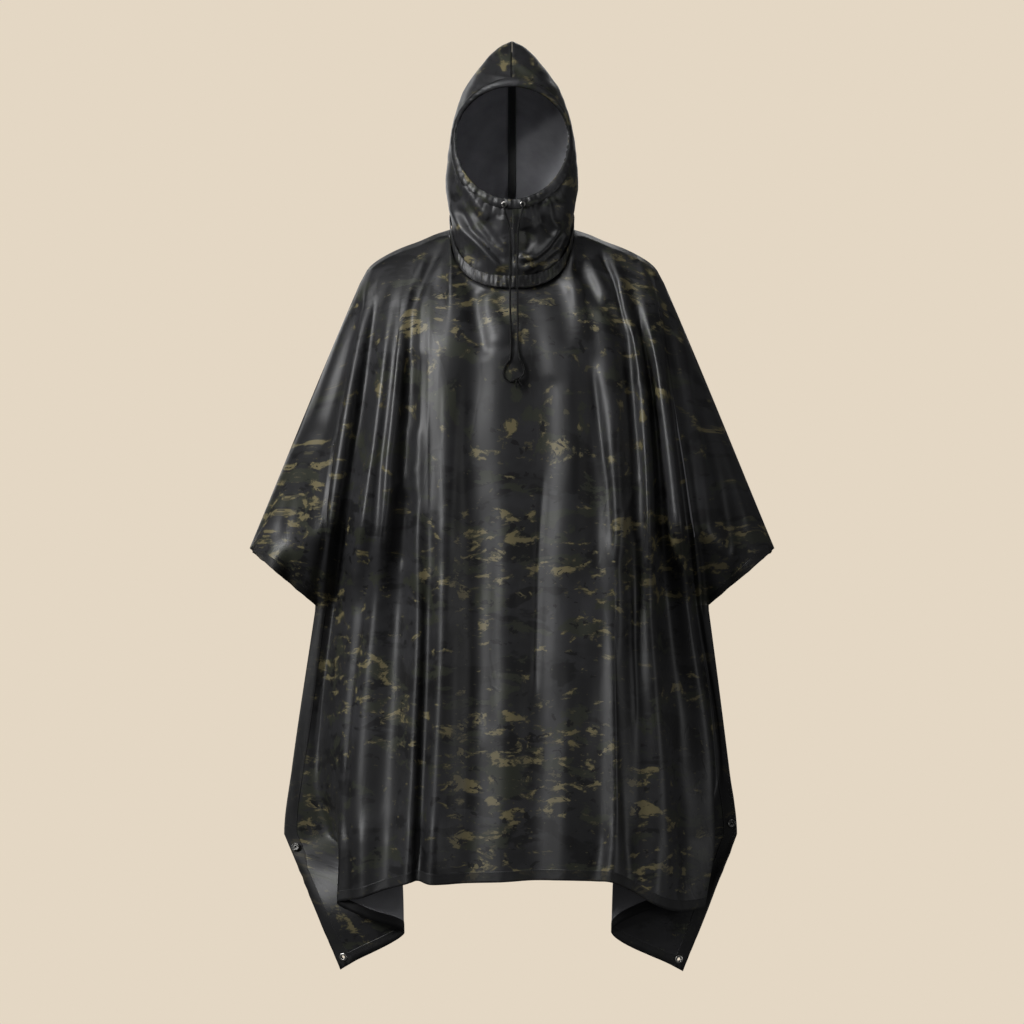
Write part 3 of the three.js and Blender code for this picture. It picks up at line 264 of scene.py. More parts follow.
# Body panels
class Panel:
    def __init__(self, folds, side):
        self.side = side
        self.sign = -1 if side == "front" else 1
        self.folds = folds
        self.last = len(folds) - 1
        tops = [fold[0] for fold in folds]
        self.neck = (tops.index(-NECK_HALF), tops.index(NECK_HALF))

    def seam_at(self, turn):
        return neck_seam(turn if self.side == "front" else np.pi - turn)

    def top_z(self, x):
        on_neck = np.abs(x) < NECK_HALF
        turn = np.arcsin(np.clip(x / NECK_HALF, -1, 1))
        return np.where(on_neck, self.seam_at(turn)[..., 2], ridge_z(x))

    def fold_points(self, j, s, edge):
        """Fold row j at the levels s, from 0 at the top edge to 5 at the hem."""
        fold = self.folds[j]
        top = float(self.top_z(np.array(float(fold[0]))))
        hem_z = fold[6]
        levels = np.array([top, CHEST_Z, NOTCH_Z, KNEE_Z, SNAP_Z, hem_z], dtype=float)
        i = np.clip(np.floor(s).astype(int), 0, 4)
        z = lerp(levels[i], levels[i + 1], s - i)
        xs = [(top, fold[0]), (CHEST_Z, fold[1]), (NOTCH_Z, fold[2]), (KNEE_Z, fold[3]), (SNAP_Z, fold[4]),
              (hem_z, fold[5])]
        outs = [(top, 0), (CHEST_Z, fold[7]), (NOTCH_Z, fold[8]), (KNEE_Z, fold[9]), (hem_z, fold[10])]
        if len(fold) > 12:
            xs.append((FOLD_Z, fold[12]))
            outs.append((FOLD_Z, fold[13]))
        x = through(xs, z)
        if edge:
            straight = lerp(fold[4], fold[5], (z - SNAP_Z) / (hem_z - SNAP_Z))
            x = np.where(z < SNAP_Z, straight, x)
        off = stand_off(x, z, self.side) + through(outs, z)
        if len(fold) > 11:
            off = lerp(off, abs(fold[11]), ease(s - 4))
        return np.stack([x, self.sign * np.maximum(off, SEAM), z], axis=-1)

    def body(self, u, s):
        count = self.last + 1
        knots = np.stack([self.fold_points(j, s, j in (0, self.last)) for j in range(count)], axis=1)
        points = catmull(knots, u)
        starts = [self.fold_points(j, np.zeros(1), False) for j in range(count)]
        raw = catmull(np.stack(starts, axis=1), u)[0]
        i = np.clip(np.floor(u).astype(int), 0, self.last - 1)
        tops = np.array([fold[0] for fold in self.folds], dtype=float)
        turns = np.arcsin(np.clip(tops / NECK_HALF, -1, 1))
        seam = self.seam_at(lerp(turns[i], turns[i + 1], u - i))
        on_neck = (i >= self.neck[0]) & (i < self.neck[1])
        ridge = np.stack([raw[:, 0], np.zeros(len(u)), ridge_z(raw[:, 0])], axis=-1)
        exact = np.where(on_neck[:, None], seam, ridge)
        exact[:, 1] = self.sign * np.maximum(np.abs(exact[:, 1]), SEAM)
        fade = (1 - ease(s / 0.8))[:, None, None]
        points = points + (exact - raw)[None] * fade
        points[..., 1] = self.sign * np.maximum(self.sign * points[..., 1], SEAM)
        return points

    def sleeve(self, hand, share, s):
        """Sleeve points: share from the body's side line (0) to the tip (1), s from ridge to cuff."""
        j = 0 if hand < 0 else self.last
        fold = self.folds[j]
        inner = self.fold_points(j, s, True)[:, None, :]
        start = np.array([fold[0], float(self.top_z(np.array(float(fold[0]))))])
        end = np.array([fold[2], NOTCH_Z])
        t = ((start[1] - inner[..., 2]) / (start[1] - end[1]))[..., None]
        flat_inner = inner[..., [0, 2]]
        bow = flat_inner - (start + (end - start) * t)
        tip = np.array([hand * SLEEVE_TIP[0], SLEEVE_TIP[1]])
        cuff_end = tip + (end - tip) * 10 / np.linalg.norm(end - tip)
        k = share[None, :, None]
        cuff = end + (cuff_end - end) * k
        ridge_x = lerp(abs(start[0]), SLEEVE_TIP[0], share ** 0.8)
        ridge = np.stack([hand * ridge_x, ridge_z(ridge_x)], axis=-1)[None]
        flat = ridge + (cuff - ridge) * t + bow * (1 - k)
        off = stand_off(flat[..., 0], flat[..., 1], self.side)
        fade = ease(path_distance(RIDGE, np.abs(flat[..., 0]), flat[..., 1]) / 45)
        for at, out, width in SLEEVE_FOLDS:
            off = off + fade * out * np.exp(-(((share[None] - at) / width) ** 2)) * (0.4 + 0.6 * t[..., 0])
        body_off = np.abs(inner[..., 1]) - stand_off(inner[..., 0], inner[..., 2], self.side)
        off = off + (1 - ease(share[None] / 0.2)) * body_off * fade
        off = np.where(s[:, None] == 0, SEAM, np.maximum(off, SEAM))
        flat = np.where(s[:, None, None] == 0, ridge, flat)
        return np.stack([flat[..., 0], self.sign * off, flat[..., 1]], axis=-1)


def fill_slopes(slopes, grid, axis, forward):
    """Where a neighbour is missing, the slope is the step to the neighbour that is there."""
    blank = np.full_like(grid.take([0], axis), np.nan)
    steps = np.diff(grid, axis=axis)
    steps = np.concatenate([steps, blank] if forward else [blank, steps], axis=axis)
    missing = np.isnan(slopes[..., 0]) & ~np.isnan(grid[..., 0])
    slopes[missing] = steps[missing]


def normals_of(grid, wrap=False):
    """Outward direction at each point of a grid of points. Points that aren't there are NaN."""
    if wrap:
        across = np.roll(grid, -1, axis=1) - np.roll(grid, 1, axis=1)
    else:
        across = np.empty_like(grid)
        across[:, 1:-1] = grid[:, 2:] - grid[:, :-2]
        across[:, 0], across[:, -1] = grid[:, 1] - grid[:, 0], grid[:, -1] - grid[:, -2]
        fill_slopes(across, grid, 1, True)
        fill_slopes(across, grid, 1, False)
    down = np.empty_like(grid)
    down[1:-1] = grid[2:] - grid[:-2]
    down[0], down[-1] = grid[1] - grid[0], grid[-1] - grid[-2]
    fill_slopes(down, grid, 0, False)
    normal = np.cross(down, across)
    return normal / np.maximum(np.linalg.norm(normal, axis=-1, keepdims=True), 1e-9)


def soften(grid, amount, rounds=14):
    """Rounds crests and troughs across the columns, by an amount from 0 to 1 at each point."""
    for _ in range(rounds):
        mean = (grid[:, :-2] + 2 * grid[:, 1:-1] + grid[:, 2:]) / 4
        share = np.where(np.isnan(mean[..., 0]), 0, amount[:, 1:-1])[..., None]
        grid[:, 1:-1] = np.where(share > 0, lerp(grid[:, 1:-1], mean, share), grid[:, 1:-1])
    return grid


def run_length(grid, axis):
    """Length along the cloth from the first point of each row or column."""
    step = np.linalg.norm(np.diff(grid, axis=axis), axis=-1)
    zero = np.zeros(step.shape[:axis] + (1,) + step.shape[axis + 1:])
    return np.concatenate([zero, np.nancumsum(step, axis=axis)], axis=axis)


def new_object(name, data):
    made = bpy.data.objects.new(name, data)
    bpy.context.scene.collection.objects.link(made)
    return made


def uv_maps(cloth, edge):
    """UV layers in metres, from pairs of lengths in millimetres."""
    pairs = {"cloth": cloth, "edge": edge}
    return {layer: np.nan_to_num(np.stack(pair, axis=-1)) / 1000 for layer, pair in pairs.items()}


def closed_piece(name, vertices, faces, look, uvs=()):
    """A smooth closed piece from points in metres, with its faces turned outward."""
    mesh = bpy.data.meshes.new(name)
    mesh.from_pydata([tuple(v) for v in vertices], [], faces)
    if uvs:
        flat = [value for face in uvs for corner in face for value in corner]
        mesh.uv_layers.new(name="cord").data.foreach_set("uv", flat)
    bm = bmesh.new()
    bm.from_mesh(mesh)
    bmesh.ops.recalc_face_normals(bm, faces=bm.faces)
    bm.to_mesh(mesh)
    bm.free()
    mesh.shade_smooth()
    mesh.materials.append(look)
    return new_object(name, mesh)


def shell(name, outer, maps, thick, looks, wrap=False, keep=None):
    """A thin shell of cloth under a grid of outer points. maps holds UV arrays in metres by name, looks
    the materials of the outer and inner face."""
    rows, columns = outer.shape[:2]
    normal = normals_of(outer, wrap)
    inner = outer - normal * thick[..., None]
    if keep is not None:
        inner = keep(inner)
    there = ~np.isnan(outer[..., 0])
    index = np.full((rows, columns), -1)
    index[there] = np.arange(there.sum())
    count = int(there.sum())
    wide = columns if wrap else columns - 1
    i, j = np.meshgrid(np.arange(rows - 1), np.arange(wide), indexing="ij")
    nj = (j + 1) % columns
    whole = there[i, j] & there[i + 1, j] & there[i, nj] & there[i + 1, nj]
    i, j, nj = i[whole], j[whole], nj[whole]
    quad = np.stack([index[i, j], index[i + 1, j], index[i + 1, nj], index[i, nj]], axis=1)
    around = ((i, j), (i + 1, j), (i + 1, j + 1), (i, j + 1))
    spots = np.stack([np.stack(spot) for spot in around])
    # The rim closes the edges that only one quad has
    ends = np.stack([quad, np.roll(quad, -1, axis=1)], axis=2).reshape(-1, 2)
    spot_ends = np.stack([spots, np.roll(spots, -1, axis=0)], axis=3)
    spot_ends = spot_ends.transpose(2, 0, 1, 3).reshape(-1, 2, 2)
    key = ends[:, 0].astype(np.int64) * count + ends[:, 1]
    other = ends[:, 1].astype(np.int64) * count + ends[:, 0]
    edge = ~np.isin(key, other)
    a, b = ends[edge].T
    rim = np.stack([b, a, a + count, b + count], axis=1)
    rim_spots = spot_ends[edge]
    faces = np.concatenate([quad, quad[:, ::-1] + count, rim])
    vertices = np.concatenate([outer[there], inner[there]]) / 1000
    mesh = bpy.data.meshes.new(name)
    mesh.from_pydata(vertices.tolist(), [], faces.tolist())
    for layer, values in maps.items():
        corners = values[spots[:, 0], spots[:, 1]].transpose(1, 0, 2)
        rim_a = values[rim_spots[:, 0, 0], rim_spots[:, 1, 0]]
        rim_b = values[rim_spots[:, 0, 1], rim_spots[:, 1, 1]]
        sides = np.stack([rim_b, rim_a, rim_a, rim_b], axis=1)
        uv = np.concatenate([corners, corners[:, ::-1], sides]).reshape(-1)
        mesh.uv_layers.new(name=layer).data.foreach_set("uv", uv.astype(np.float32))
    slots = np.concatenate([np.zeros(len(quad)), np.ones(len(quad)), np.zeros(len(rim))]).astype(np.int32)
    smooth = np.concatenate([np.ones(2 * len(quad)), np.zeros(len(rim))]).astype(bool)
    mesh.polygons.foreach_set("material_index", slots)
    mesh.polygons.foreach_set("use_smooth", smooth)
    for look in looks:
        mesh.materials.append(look)
    mesh.update()
    return new_object(name, mesh)


# Materials
class Nodes:
    """A material's nodes, added one by one."""
    def __init__(self, name):
        self.material = bpy.data.materials.new(name)
        self.material.use_nodes = True
        self.tree = self.material.node_tree
        self.shader = self.tree.nodes["Principled BSDF"]

    def put(self, node, key, value):
        socket = node.inputs[key]
        if isinstance(value, bpy.types.NodeSocket):
            self.tree.links.new(value, socket)
        else:
            socket.default_value = value

    def add(self, kind, inputs=(), **settings):
        node = self.tree.nodes.new(kind)
        for key, value in settings.items():
            setattr(node, key, value)
        for key, value in dict(inputs).items():
            self.put(node, key, value)
        return node

    def math(self, operation, a, b=0.0, c=0.0):
        node = self.add("ShaderNodeMath", {0: a, 1: b, 2: c}, operation=operation)
        return node.outputs[0]

    def uv(self, name):
        return self.add("ShaderNodeUVMap", uv_map=name).outputs[0]

    def place(self, vector, scale=(1, 1, 1), shift=(0, 0, 0)):
        node = self.add("ShaderNodeMapping", {"Vector": vector, "Scale": scale, "Location": shift})
        return node.outputs[0]

    def noise(self, vector, scale, detail=2.0, roughness=0.5, distortion=0.0):
        node = self.add("ShaderNodeTexNoise", {"Vector": vector, "Scale": scale, "Detail": detail,
                                               "Roughness": roughness, "Distortion": distortion})
        return node.outputs["Fac"]

    def step(self, value, low, high):
        """0 below low, 1 above high and smooth between."""
        node = self.add("ShaderNodeMapRange", {"Value": value, "From Min": low, "From Max": high},
                        interpolation_type="SMOOTHSTEP")
        return node.outputs[0]

    def mix(self, factor, a, b):
        node = self.add("ShaderNodeMix", {0: factor, 6: a, 7: b}, data_type="RGBA")
        return node.outputs[2]

    def finish(self, **inputs):
        for key, value in inputs.items():
            self.put(self.shader, key.replace("_", " "), value)
        return self.material


def rgb(red, green, blue):
    """A colour as the screen shows it, made linear."""
    return tuple(((v / 255 + 0.055) / 1.055) ** 2.4 if v > 10 else v / 255 / 12.92
                 for v in (red, green, blue)) + (1.0,)


CHARCOAL = rgb(35, 35, 36)
NEAR_BLACK = rgb(19, 19, 20)
DARK_GREY = rgb(47, 47, 49)
OLIVE_GREY = rgb(47, 49, 40)
KHAKI = rgb(108, 100, 72)
DARK_KHAKI = rgb(68, 65, 50)
COATING = (rgb(132, 132, 135), rgb(158, 158, 162))
# Painted light: the hood's inner face is the same coated cloth as COATING, given lighter tones so that the
# shaded inside of the hood looks lit.
HOOD_COATING_WITH_PAINTED_LIGHT = (rgb(136, 136, 140), rgb(184, 184, 188))


def camouflage(n, cloth, shift):
    """Plain generic camouflage: uneven blotches in four layers, wider than they are tall."""
    p = n.place(cloth, (1, 1.9, 1), shift)
    q = n.place(cloth, (1, 1.5, 1), (shift[0] + 3.1, shift[1] + 7.7, 0))
    r = n.place(cloth, (1, 1.9, 1), (shift[0] + 9.4, shift[1] + 2.3, 0))
    haze = n.step(n.noise(q, 5.0, 4.0, 0.65), 0.42, 0.64)
    colour = n.mix(haze, CHARCOAL, DARK_GREY)
    dark = n.step(n.noise(r, 8.0, 4.0, 0.6, 0.3), 0.54, 0.58)
    colour = n.mix(n.math("MULTIPLY", dark, 0.85), colour, NEAR_BLACK)
    cluster = n.step(n.noise(q, 4.0, 1.0), 0.46, 0.60)
    olive = n.math("MULTIPLY_ADD", cluster, 0.05, n.noise(p, 13.0, 5.0, 0.66, 0.5))
    colour = n.mix(n.math("MULTIPLY", n.step(olive, 0.575, 0.595), 0.9), colour, OLIVE_GREY)
    shape = n.noise(r, 23.0, 4.0, 0.64, 0.45)
    raised = n.math("MULTIPLY_ADD", cluster, 0.085, shape)
    colour = n.mix(n.step(raised, 0.628, 0.638), colour, DARK_KHAKI)
    colour = n.mix(n.step(raised, 0.663, 0.670), colour, KHAKI)
    bites = n.math("MULTIPLY_ADD", cluster, 0.03, n.noise(q, 38.0, 3.0, 0.6, 0.4))
    colour = n.mix(n.step(bites, 0.635, 0.650), colour, NEAR_BLACK)
    specks = n.math("MULTIPLY_ADD", cluster, 0.06, n.noise(p, 52.0, 2.0, 0.6))
    return n.mix(n.step(specks, 0.700, 0.715), colour, DARK_KHAKI)


def stitches(n, edge, lines, pitch=0.0042):
    """Rows of stitches at the given distances from an edge, as a height between 0 and 1."""
    parts = n.add("ShaderNodeSeparateXYZ", {0: edge})
    beat = n.math("FRACT", n.math("DIVIDE", parts.outputs[0], pitch))
    dash = n.math("COMPARE", beat, 0.5, 0.32)
    total = 0.0
    for line in lines:
        on = n.math("COMPARE", parts.outputs[1], line, 0.0005)
        total = n.math("MAXIMUM", total, n.math("MULTIPLY", on, dash))
    return total, parts.outputs[1]


def crinkle(n, cloth, strength=1.0):
    """Height of the small crinkles of coated nylon, in metres."""
    tall = n.place(cloth, (1, 0.3, 1))
    broad = n.noise(tall, 20.0, 3.0, 0.5, 0.4)
    edges = n.math("ABSOLUTE", n.math("SUBTRACT", n.noise(n.place(cloth, (1, 0.6, 1), (5, 2, 0)),
                                                          14.0, 3.0, 0.5, 0.6), 0.5))
    fine = n.noise(cloth, 240.0, 2.0, 0.5)
    height = n.math("MULTIPLY", broad, 0.0007 * strength)
    height = n.math("MULTIPLY_ADD", n.math("MINIMUM", edges, 0.03), -0.0035 * strength, height)
    return n.math("MULTIPLY_ADD", fine, 0.00003, height)


def bump(n, height, distance=1.0):
    node = n.add("ShaderNodeBump", {"Height": height, "Distance": distance, "Strength": 1.0})
    return node.outputs["Normal"]


def cloth_look(name, shift, lines, band, strength=1.0):
    n = Nodes(name)
    cloth, edge = n.uv("cloth"), n.uv("edge")
    thread, away = stitches(n, edge, lines)
    colour = camouflage(n, cloth, shift)
    turned = n.math("SUBTRACT", 1.0, n.step(away, band - 0.0006, band + 0.0006))
    colour = n.mix(n.math("MULTIPLY", turned, 0.8), colour, NEAR_BLACK)
    colour = n.mix(n.math("MULTIPLY", thread, 0.6), colour, DARK_GREY)
    height = crinkle(n, cloth, strength)
    height = n.math("MULTIPLY_ADD", turned, 0.0005, height)
    height = n.math("MULTIPLY_ADD", thread, 0.0003, height)
    gloss = n.math("MULTIPLY_ADD", n.noise(cloth, 14.0, 3.0), 0.14, 0.39)
    gloss = n.math("MULTIPLY_ADD", turned, 0.18, gloss)
    n.shader.inputs["Specular IOR Level"].default_value = 0.5
    return n.finish(Base_Color=colour, Roughness=gloss, Normal=bump(n, height))


def coating_look(name, lines, band, tones=COATING):
    """The coated inner face: plain grey, with hems that show the turned outer cloth."""
    n = Nodes(name)
    cloth, edge = n.uv("cloth"), n.uv("edge")
    thread, away = stitches(n, edge, lines)
    mottle = n.noise(cloth, 30.0, 4.0, 0.6)
    colour = n.mix(mottle, *tones)
    turned = n.math("SUBTRACT", 1.0, n.step(away, band - 0.0006, band + 0.0006))
    colour = n.mix(turned, colour, NEAR_BLACK)
    colour = n.mix(thread, colour, DARK_GREY)
    height = n.math("MULTIPLY_ADD", turned, 0.0006, crinkle(n, cloth, 1.2))
    n.shader.inputs["Specular IOR Level"].default_value = 0.3
    return n.finish(Base_Color=colour, Roughness=0.55, Normal=bump(n, height))


def metal_look(name, colour, roughness):
    n = Nodes(name)
    where = n.add("ShaderNodeTexCoord").outputs["Object"]
    worn = n.noise(where, 420.0, 3.0, 0.6)
    tint = n.mix(n.step(worn, 0.45, 0.7), colour, tuple(0.55 * v for v in colour[:3]) + (1.0,))
    rough = n.math("MULTIPLY_ADD", worn, 0.25, roughness)
    n.shader.inputs["Metallic"].default_value = 1.0
    return n.finish(Base_Color=tint, Roughness=rough, Normal=bump(n, n.math("MULTIPLY", worn, 0.0002)))


def cord_look(name):
    n = Nodes(name)
    lay = n.uv("cord")
    parts = n.add("ShaderNodeSeparateXYZ", {0: lay})
    turns = n.math("MULTIPLY", parts.outputs[0], 8.0)
    runs = n.math("DIVIDE", parts.outputs[1], 0.0034)
    left = n.math("SINE", n.math("MULTIPLY", n.math("ADD", turns, runs), 2 * math.pi))
    right = n.math("SINE", n.math("MULTIPLY", n.math("SUBTRACT", turns, runs), 2 * math.pi))
    braid = n.math("MAXIMUM", left, right)
    fuzz = n.noise(n.place(lay, (1, 90, 1)), 9.0, 3.0)
    height = n.math("MULTIPLY", n.math("ADD", braid, fuzz), 0.00022)
    # Painted shade: the cord is darker in the grooves between the braid's strands and lighter on their
    # crests, following the braid's height.
    colour = n.mix(n.step(braid, 0.0, 1.0), rgb(6, 6, 6), rgb(18, 18, 18))
    n.shader.inputs["Specular IOR Level"].default_value = 0.3
    return n.finish(Base_Color=colour, Roughness=0.55, Normal=bump(n, height))


HEM_LINES = (0.0168,)
HEM_BAND = HEM_WIDTH / 1000
BODY_LOOKS = {
    "front": cloth_look("front_cloth", (1.3, 4.1, 0), HEM_LINES, HEM_BAND),
    "back": cloth_look("back_cloth", (6.2, 8.4, 0), HEM_LINES, HEM_BAND),
}
HOOD_LOOKS = {
    -1: cloth_look("hood_left_cloth", (11.7, 3.6, 0), (0.0035,), 0.0, 0.8),
    1: cloth_look("hood_right_cloth", (14.2, 9.1, 0), (0.0035,), 0.0, 0.8),
}
COATING_LOOK = coating_look("coating", HEM_LINES, HEM_BAND)
# The hood's inner coating: the coating's own grey plus painted light, lighter than the body's coating.
HOOD_COATING_LOOK_PAINTED_LIGHT = coating_look("hood_coating_painted_light", (0.0035,), 0.0, HOOD_COATING_WITH_PAINTED_LIGHT)
BAND_LOOK = cloth_look("band_cloth", (17.5, 1.4, 0), (0.0022, 0.0048), 0.0, 0.6)
CASING_LOOK = cloth_look("casing_cloth", (19.8, 5.2, 0), (0.0014,), 0.0, 0.6)
METAL = metal_look("nickel", rgb(196, 194, 188), 0.22)
DARK_METAL = metal_look("dark_nickel", rgb(120, 119, 116), 0.3)
CORD_LOOK = cord_look("braided_cord")


# Hardware: turned profiles [radius, height], with height 0 on the cloth's outer face
CLEAR = 0.3
GROMMET_TOP, GROMMET_BELOW = 1.9, 1.4
EYELET = [(2.15, 0.2), (4.9, 0.2), (4.95, 0.8), (4.5, 1.5), (3.8, 1.8), (3.0, 1.75), (2.4, 1.4),
          (2.15, 0.9)]
SNAP = [(1.6, 0.2), (7.0, 0.2), (7.1, 0.8), (6.9, 1.5), (6.3, 2.0), (5.5, 2.2), (4.9, 1.9), (4.5, 1.2),
        (3.6, 0.9), (2.6, 0.9), (2.2, 1.3), (1.6, 1.3)]


def grommet_profile(wall):
    low = -wall - CLEAR
    return [(3.1, low - 0.9), (3.1, 1.0), (3.5, 1.6), (4.4, 1.9), (5.6, 1.8), (6.8, 1.2), (7.5, CLEAR),
            (4.2, 0.05), (4.2, low), (7.2, low), (6.6, low - 0.7), (5.4, low - 1.1), (4.2, low - 1.2),
            (3.4, low - 1.2)]


def seat_of(node, base, facing):
    """Where a turned CAD ring is seated: its centre at height 0 and its axis, in millimetres."""
    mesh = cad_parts[node].data
    points = np.array([v.co for v in mesh.vertices]) * 1000
    middle = (points.max(axis=0) + points.min(axis=0)) / 2
    _, _, axes = np.linalg.svd(points - points.mean(axis=0), full_matrices=False)
    axis = axes[2] * (1 if axes[2][1] * facing > 0 else -1)
    along = (points - middle) @ axis
    height = along.min() - base if base >= 0 else along.max() + base
    return middle + axis * height, axis, along.max() - along.min()


def turned_ring(name, profile, at, axis, look, sides=48):
    spin = Vector((0, 0, 1)).rotation_difference(Vector(axis)).to_matrix()
    vertices, faces = [], []
    for k in range(sides):
        a = 2 * math.pi * k / sides
        for radius, height in profile:
            vertices.append((spin @ Vector((radius * math.cos(a), radius * math.sin(a), height))
                             + Vector(at)) / 1000)
    count = len(profile)
    for k in range(sides):
        for i in range(count):
            a, b = k * count, ((k + 1) % sides) * count
            faces.append((a + i, b + i, b + (i + 1) % count, a + (i + 1) % count))
    return closed_piece(name, vertices, faces, look)


def stand_for(piece, node):
    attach(piece, "root")
    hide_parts(node)


RINGS = []


def add_ring(node, facing):
    if node.startswith("grommet"):
        at, axis, tall = seat_of(node, -GROMMET_TOP, facing)
        profile, look = grommet_profile(tall - GROMMET_TOP - GROMMET_BELOW), METAL
    elif node.startswith("snap"):
        at, axis, _ = seat_of(node, CLEAR, facing)
        profile, look = SNAP, DARK_METAL
    else:
        at, axis, _ = seat_of(node, CLEAR, facing)
        profile, look = EYELET, METAL
    ring = turned_ring(node + ".ring", profile, at, axis, look)
    stand_for(ring, node)
    RINGS.append((node, at, axis))


for hand in ("left", "right"):
    add_ring("grommet_front_" + hand, -1)
    add_ring("grommet_back_" + hand, 1)
    add_ring("snap_front_" + hand, -1)
    add_ring("snap_back_" + hand, 1)
    add_ring("chin_eyelet_" + hand, -1)


def calm(grid, names, radius=15.0):
    """0 under a ring and 1 away from it, so that rings sit on smooth cloth."""
    keep = np.ones(grid.shape[:2])
    for node, at, _ in RINGS:
        if any(node.startswith(name) for name in names):
            away = np.linalg.norm(grid - at, axis=-1)
            keep = keep * ease((np.nan_to_num(away, nan=radius) - 8) / (radius - 8))
    return keep


def cut_holes(piece, names, radius=3.7, sides=10):
    """Cuts the cloth out from under each corner grommet."""
    bm = bmesh.new()
    bm.from_mesh(piece.data)
    for node, at, axis in RINGS:
        if not any(node.startswith(name) for name in names):
            continue
        centre, normal = Vector(at) / 1000, Vector(axis)
        reach = radius * 3.2 / 1000
        near = [f for f in bm.faces if (f.calc_center_median() - centre).length < reach]
        spin = Vector((0, 0, 1)).rotation_difference(normal).to_matrix()
        for k in range(sides):
            a = 2 * math.pi * k / sides
            side = spin @ Vector((math.cos(a), math.sin(a), 0))
            edges = list({e for f in near for e in f.edges})
            points = list({v for f in near for v in f.verts})
            bmesh.ops.bisect_plane(bm, geom=near + edges + points, plane_co=centre + side * radius / 1000,
                                   plane_no=side)
            near = [f for f in bm.faces if (f.calc_center_median() - centre).length < reach]
        gone = []
        for f in near:
            away = f.calc_center_median() - centre
            flat = away - normal * away.dot(normal)
            if flat.length < radius * 0.97 / 1000 and abs(away.dot(normal)) < 0.008:
                gone.append(f)
        bmesh.ops.delete(bm, geom=gone, context="FACES")
    bm.to_mesh(piece.data)
    bm.free()


# Small folds and creases of the body, as seen from the front: out, width, then x, z of its points
FRONT_CREASES = [
    (-6, 13, [(-113, 2), (-147, -54), (-172, -124)]),
    (4, 7, [(-121, 2), (-160, -54), (-182, -128)]),
    (4, 7, [(-106, -8), (-133, -56), (-160, -126)]),
    (5, 17.5, [(-92, -44), (-83, -115), (-86, -208), (-97, -312), (-104, -416), (-114, -560)]),
    (-6, 16, [(-68, -60), (-62, -139), (-46, -205)]),
    (5, 26, [(-50, -80), (-20, -132), (-12, -185)]),
    (-4, 13, [(-34, -94), (0, -150), (6, -190)]),
    (-5, 8.5, [(-182, -60), (-197, -173), (-208, -278), (-222, -399), (-232, -540)]),
    (3.5, 8.5, [(-182, -140), (-194, -278), (-208, -364), (-215, -500)]),
    (-5, 17.5, [(-160, -190), (-168, -240), (-174, -330)]),
    (-6, 19, [(-176, -420), (-186, -480), (-196, -560)]),
    (2.6, 3, [(-150, -381), (-186, -406), (-220, -431)]),
    (2, 3, [(-242, -612), (-260, -749), (-271, -863), (-284, -950)]),
    (3.5, 11.5, [(-228, -567), (-246, -681), (-260, -817), (-274, -999), (-290, -1090)]),
    (-7, 7, [(-142, -560), (-145, -700), (-152, -900), (-160, -1092)]),
    (6, 11.5, [(-137, -60), (-140, -272), (-142, -500)]),
    (-3, 13, [(-106, -60), (-121, -272), (-117, -500)]),
    (4, 10, [(-114, -540), (-122, -772), (-132, -1000), (-134, -1092)]),
    (3, 20.5, [(-96, -640), (-104, -820), (-100, -1000)]),
    (-3, 23, [(-40, -430), (-52, -620), (-58, -860)]),
    (2.5, 26, [(-6, -420), (-10, -640), (-6, -940)]),
    (-4, 4.5, [(54, -384), (44, -520), (38, -790)]),
    (2.5, 17.5, [(76, -360), (70, -560), (66, -860)]),
    (-6, 10, [(104, -34), (146, -104), (184, -132)]),
    (5, 7, [(126, -34), (160, -94), (188, -132)]),
    (-4.8, 4.5, [(148, -16), (173, -69), (190, -150)]),
    (4, 7, [(165, -16), (188, -84)]),
    (-6, 8, [(192, -120), (201, -243), (215, -399), (223, -560)]),
    (-5, 7, [(132, -200), (146, -312), (160, -416), (168, -540)]),
    (3, 13, [(150, -200), (166, -330), (182, -480), (190, -560)]),
    (2.1, 3.5, [(198, -232), (226, -258), (256, -292)]),
    (2.2, 3, [(218, -396), (200, -436), (182, -476)]),
    (4, 14.5, [(112, -60), (122, -130), (128, -210)]),
    (-4, 16, [(84, -72), (94, -130), (100, -200)]),
    (3.5, 17.5, [(54, -88), (62, -150), (66, -250)]),
    (-6, 9.5, [(168, -540), (180, -705), (188, -900), (199, -1092)]),
    (2.1, 3, [(198, -575), (204, -730), (207, -830)]),
    (4, 14.5, [(218, -534), (228, -656), (243, -803), (262, -949), (280, -1125)]),
    (-3, 17.5, [(110, -560), (116, -740), (118, -960)]),
    (2.5, 20.5, [(140, -600), (146, -800), (146, -1030)]),
]
BACK_CREASES = [
    (5, 17, [(-96, -20), (-104, -110), (-124, -260), (-138, -460)]),
    (-5, 15.5, [(-62, 2), (-70, -110), (-82, -280)]),
    (4, 18, [(-14, 4), (-6, -120), (4, -300)]),
    (-5, 15.5, [(46, 2), (60, -120), (76, -290)]),
    (5, 15.5, [(98, -14), (118, -110), (146, -260), (156, -440)]),
    (-5, 10.5, [(146, -12), (182, -100), (212, -240), (226, -420)]),
    (-5, 10.5, [(-146, -12), (-186, -110), (-214, -250), (-232, -430)]),
    (2.4, 4, [(-230, -300), (-190, -336), (-150, -352)]),
    (2.4, 4, [(214, -380), (180, -430), (158, -470)]),
    (-5, 9, [(34, -360), (50, -560), (58, -820)]),
    (4, 14.5, [(-56, -400), (-74, -600), (-90, -900)]),
    (-5, 10.5, [(126, -440), (146, -640), (160, -930)]),
    (4, 11.5, [(-148, -460), (-170, -680), (-188, -960)]),
    (3, 18, [(4, -640), (-8, -860), (-16, -1050)]),
    (-4, 13, [(-112, -620), (-122, -840), (-128, -1060)]),
    (4, 13, [(86, -600), (92, -820), (92, -1040)]),
    (-4, 9, [(222, -480), (250, -680), (270, -900)]),
    (4, 10.5, [(-226, -500), (-250, -700), (-268, -900)]),
]
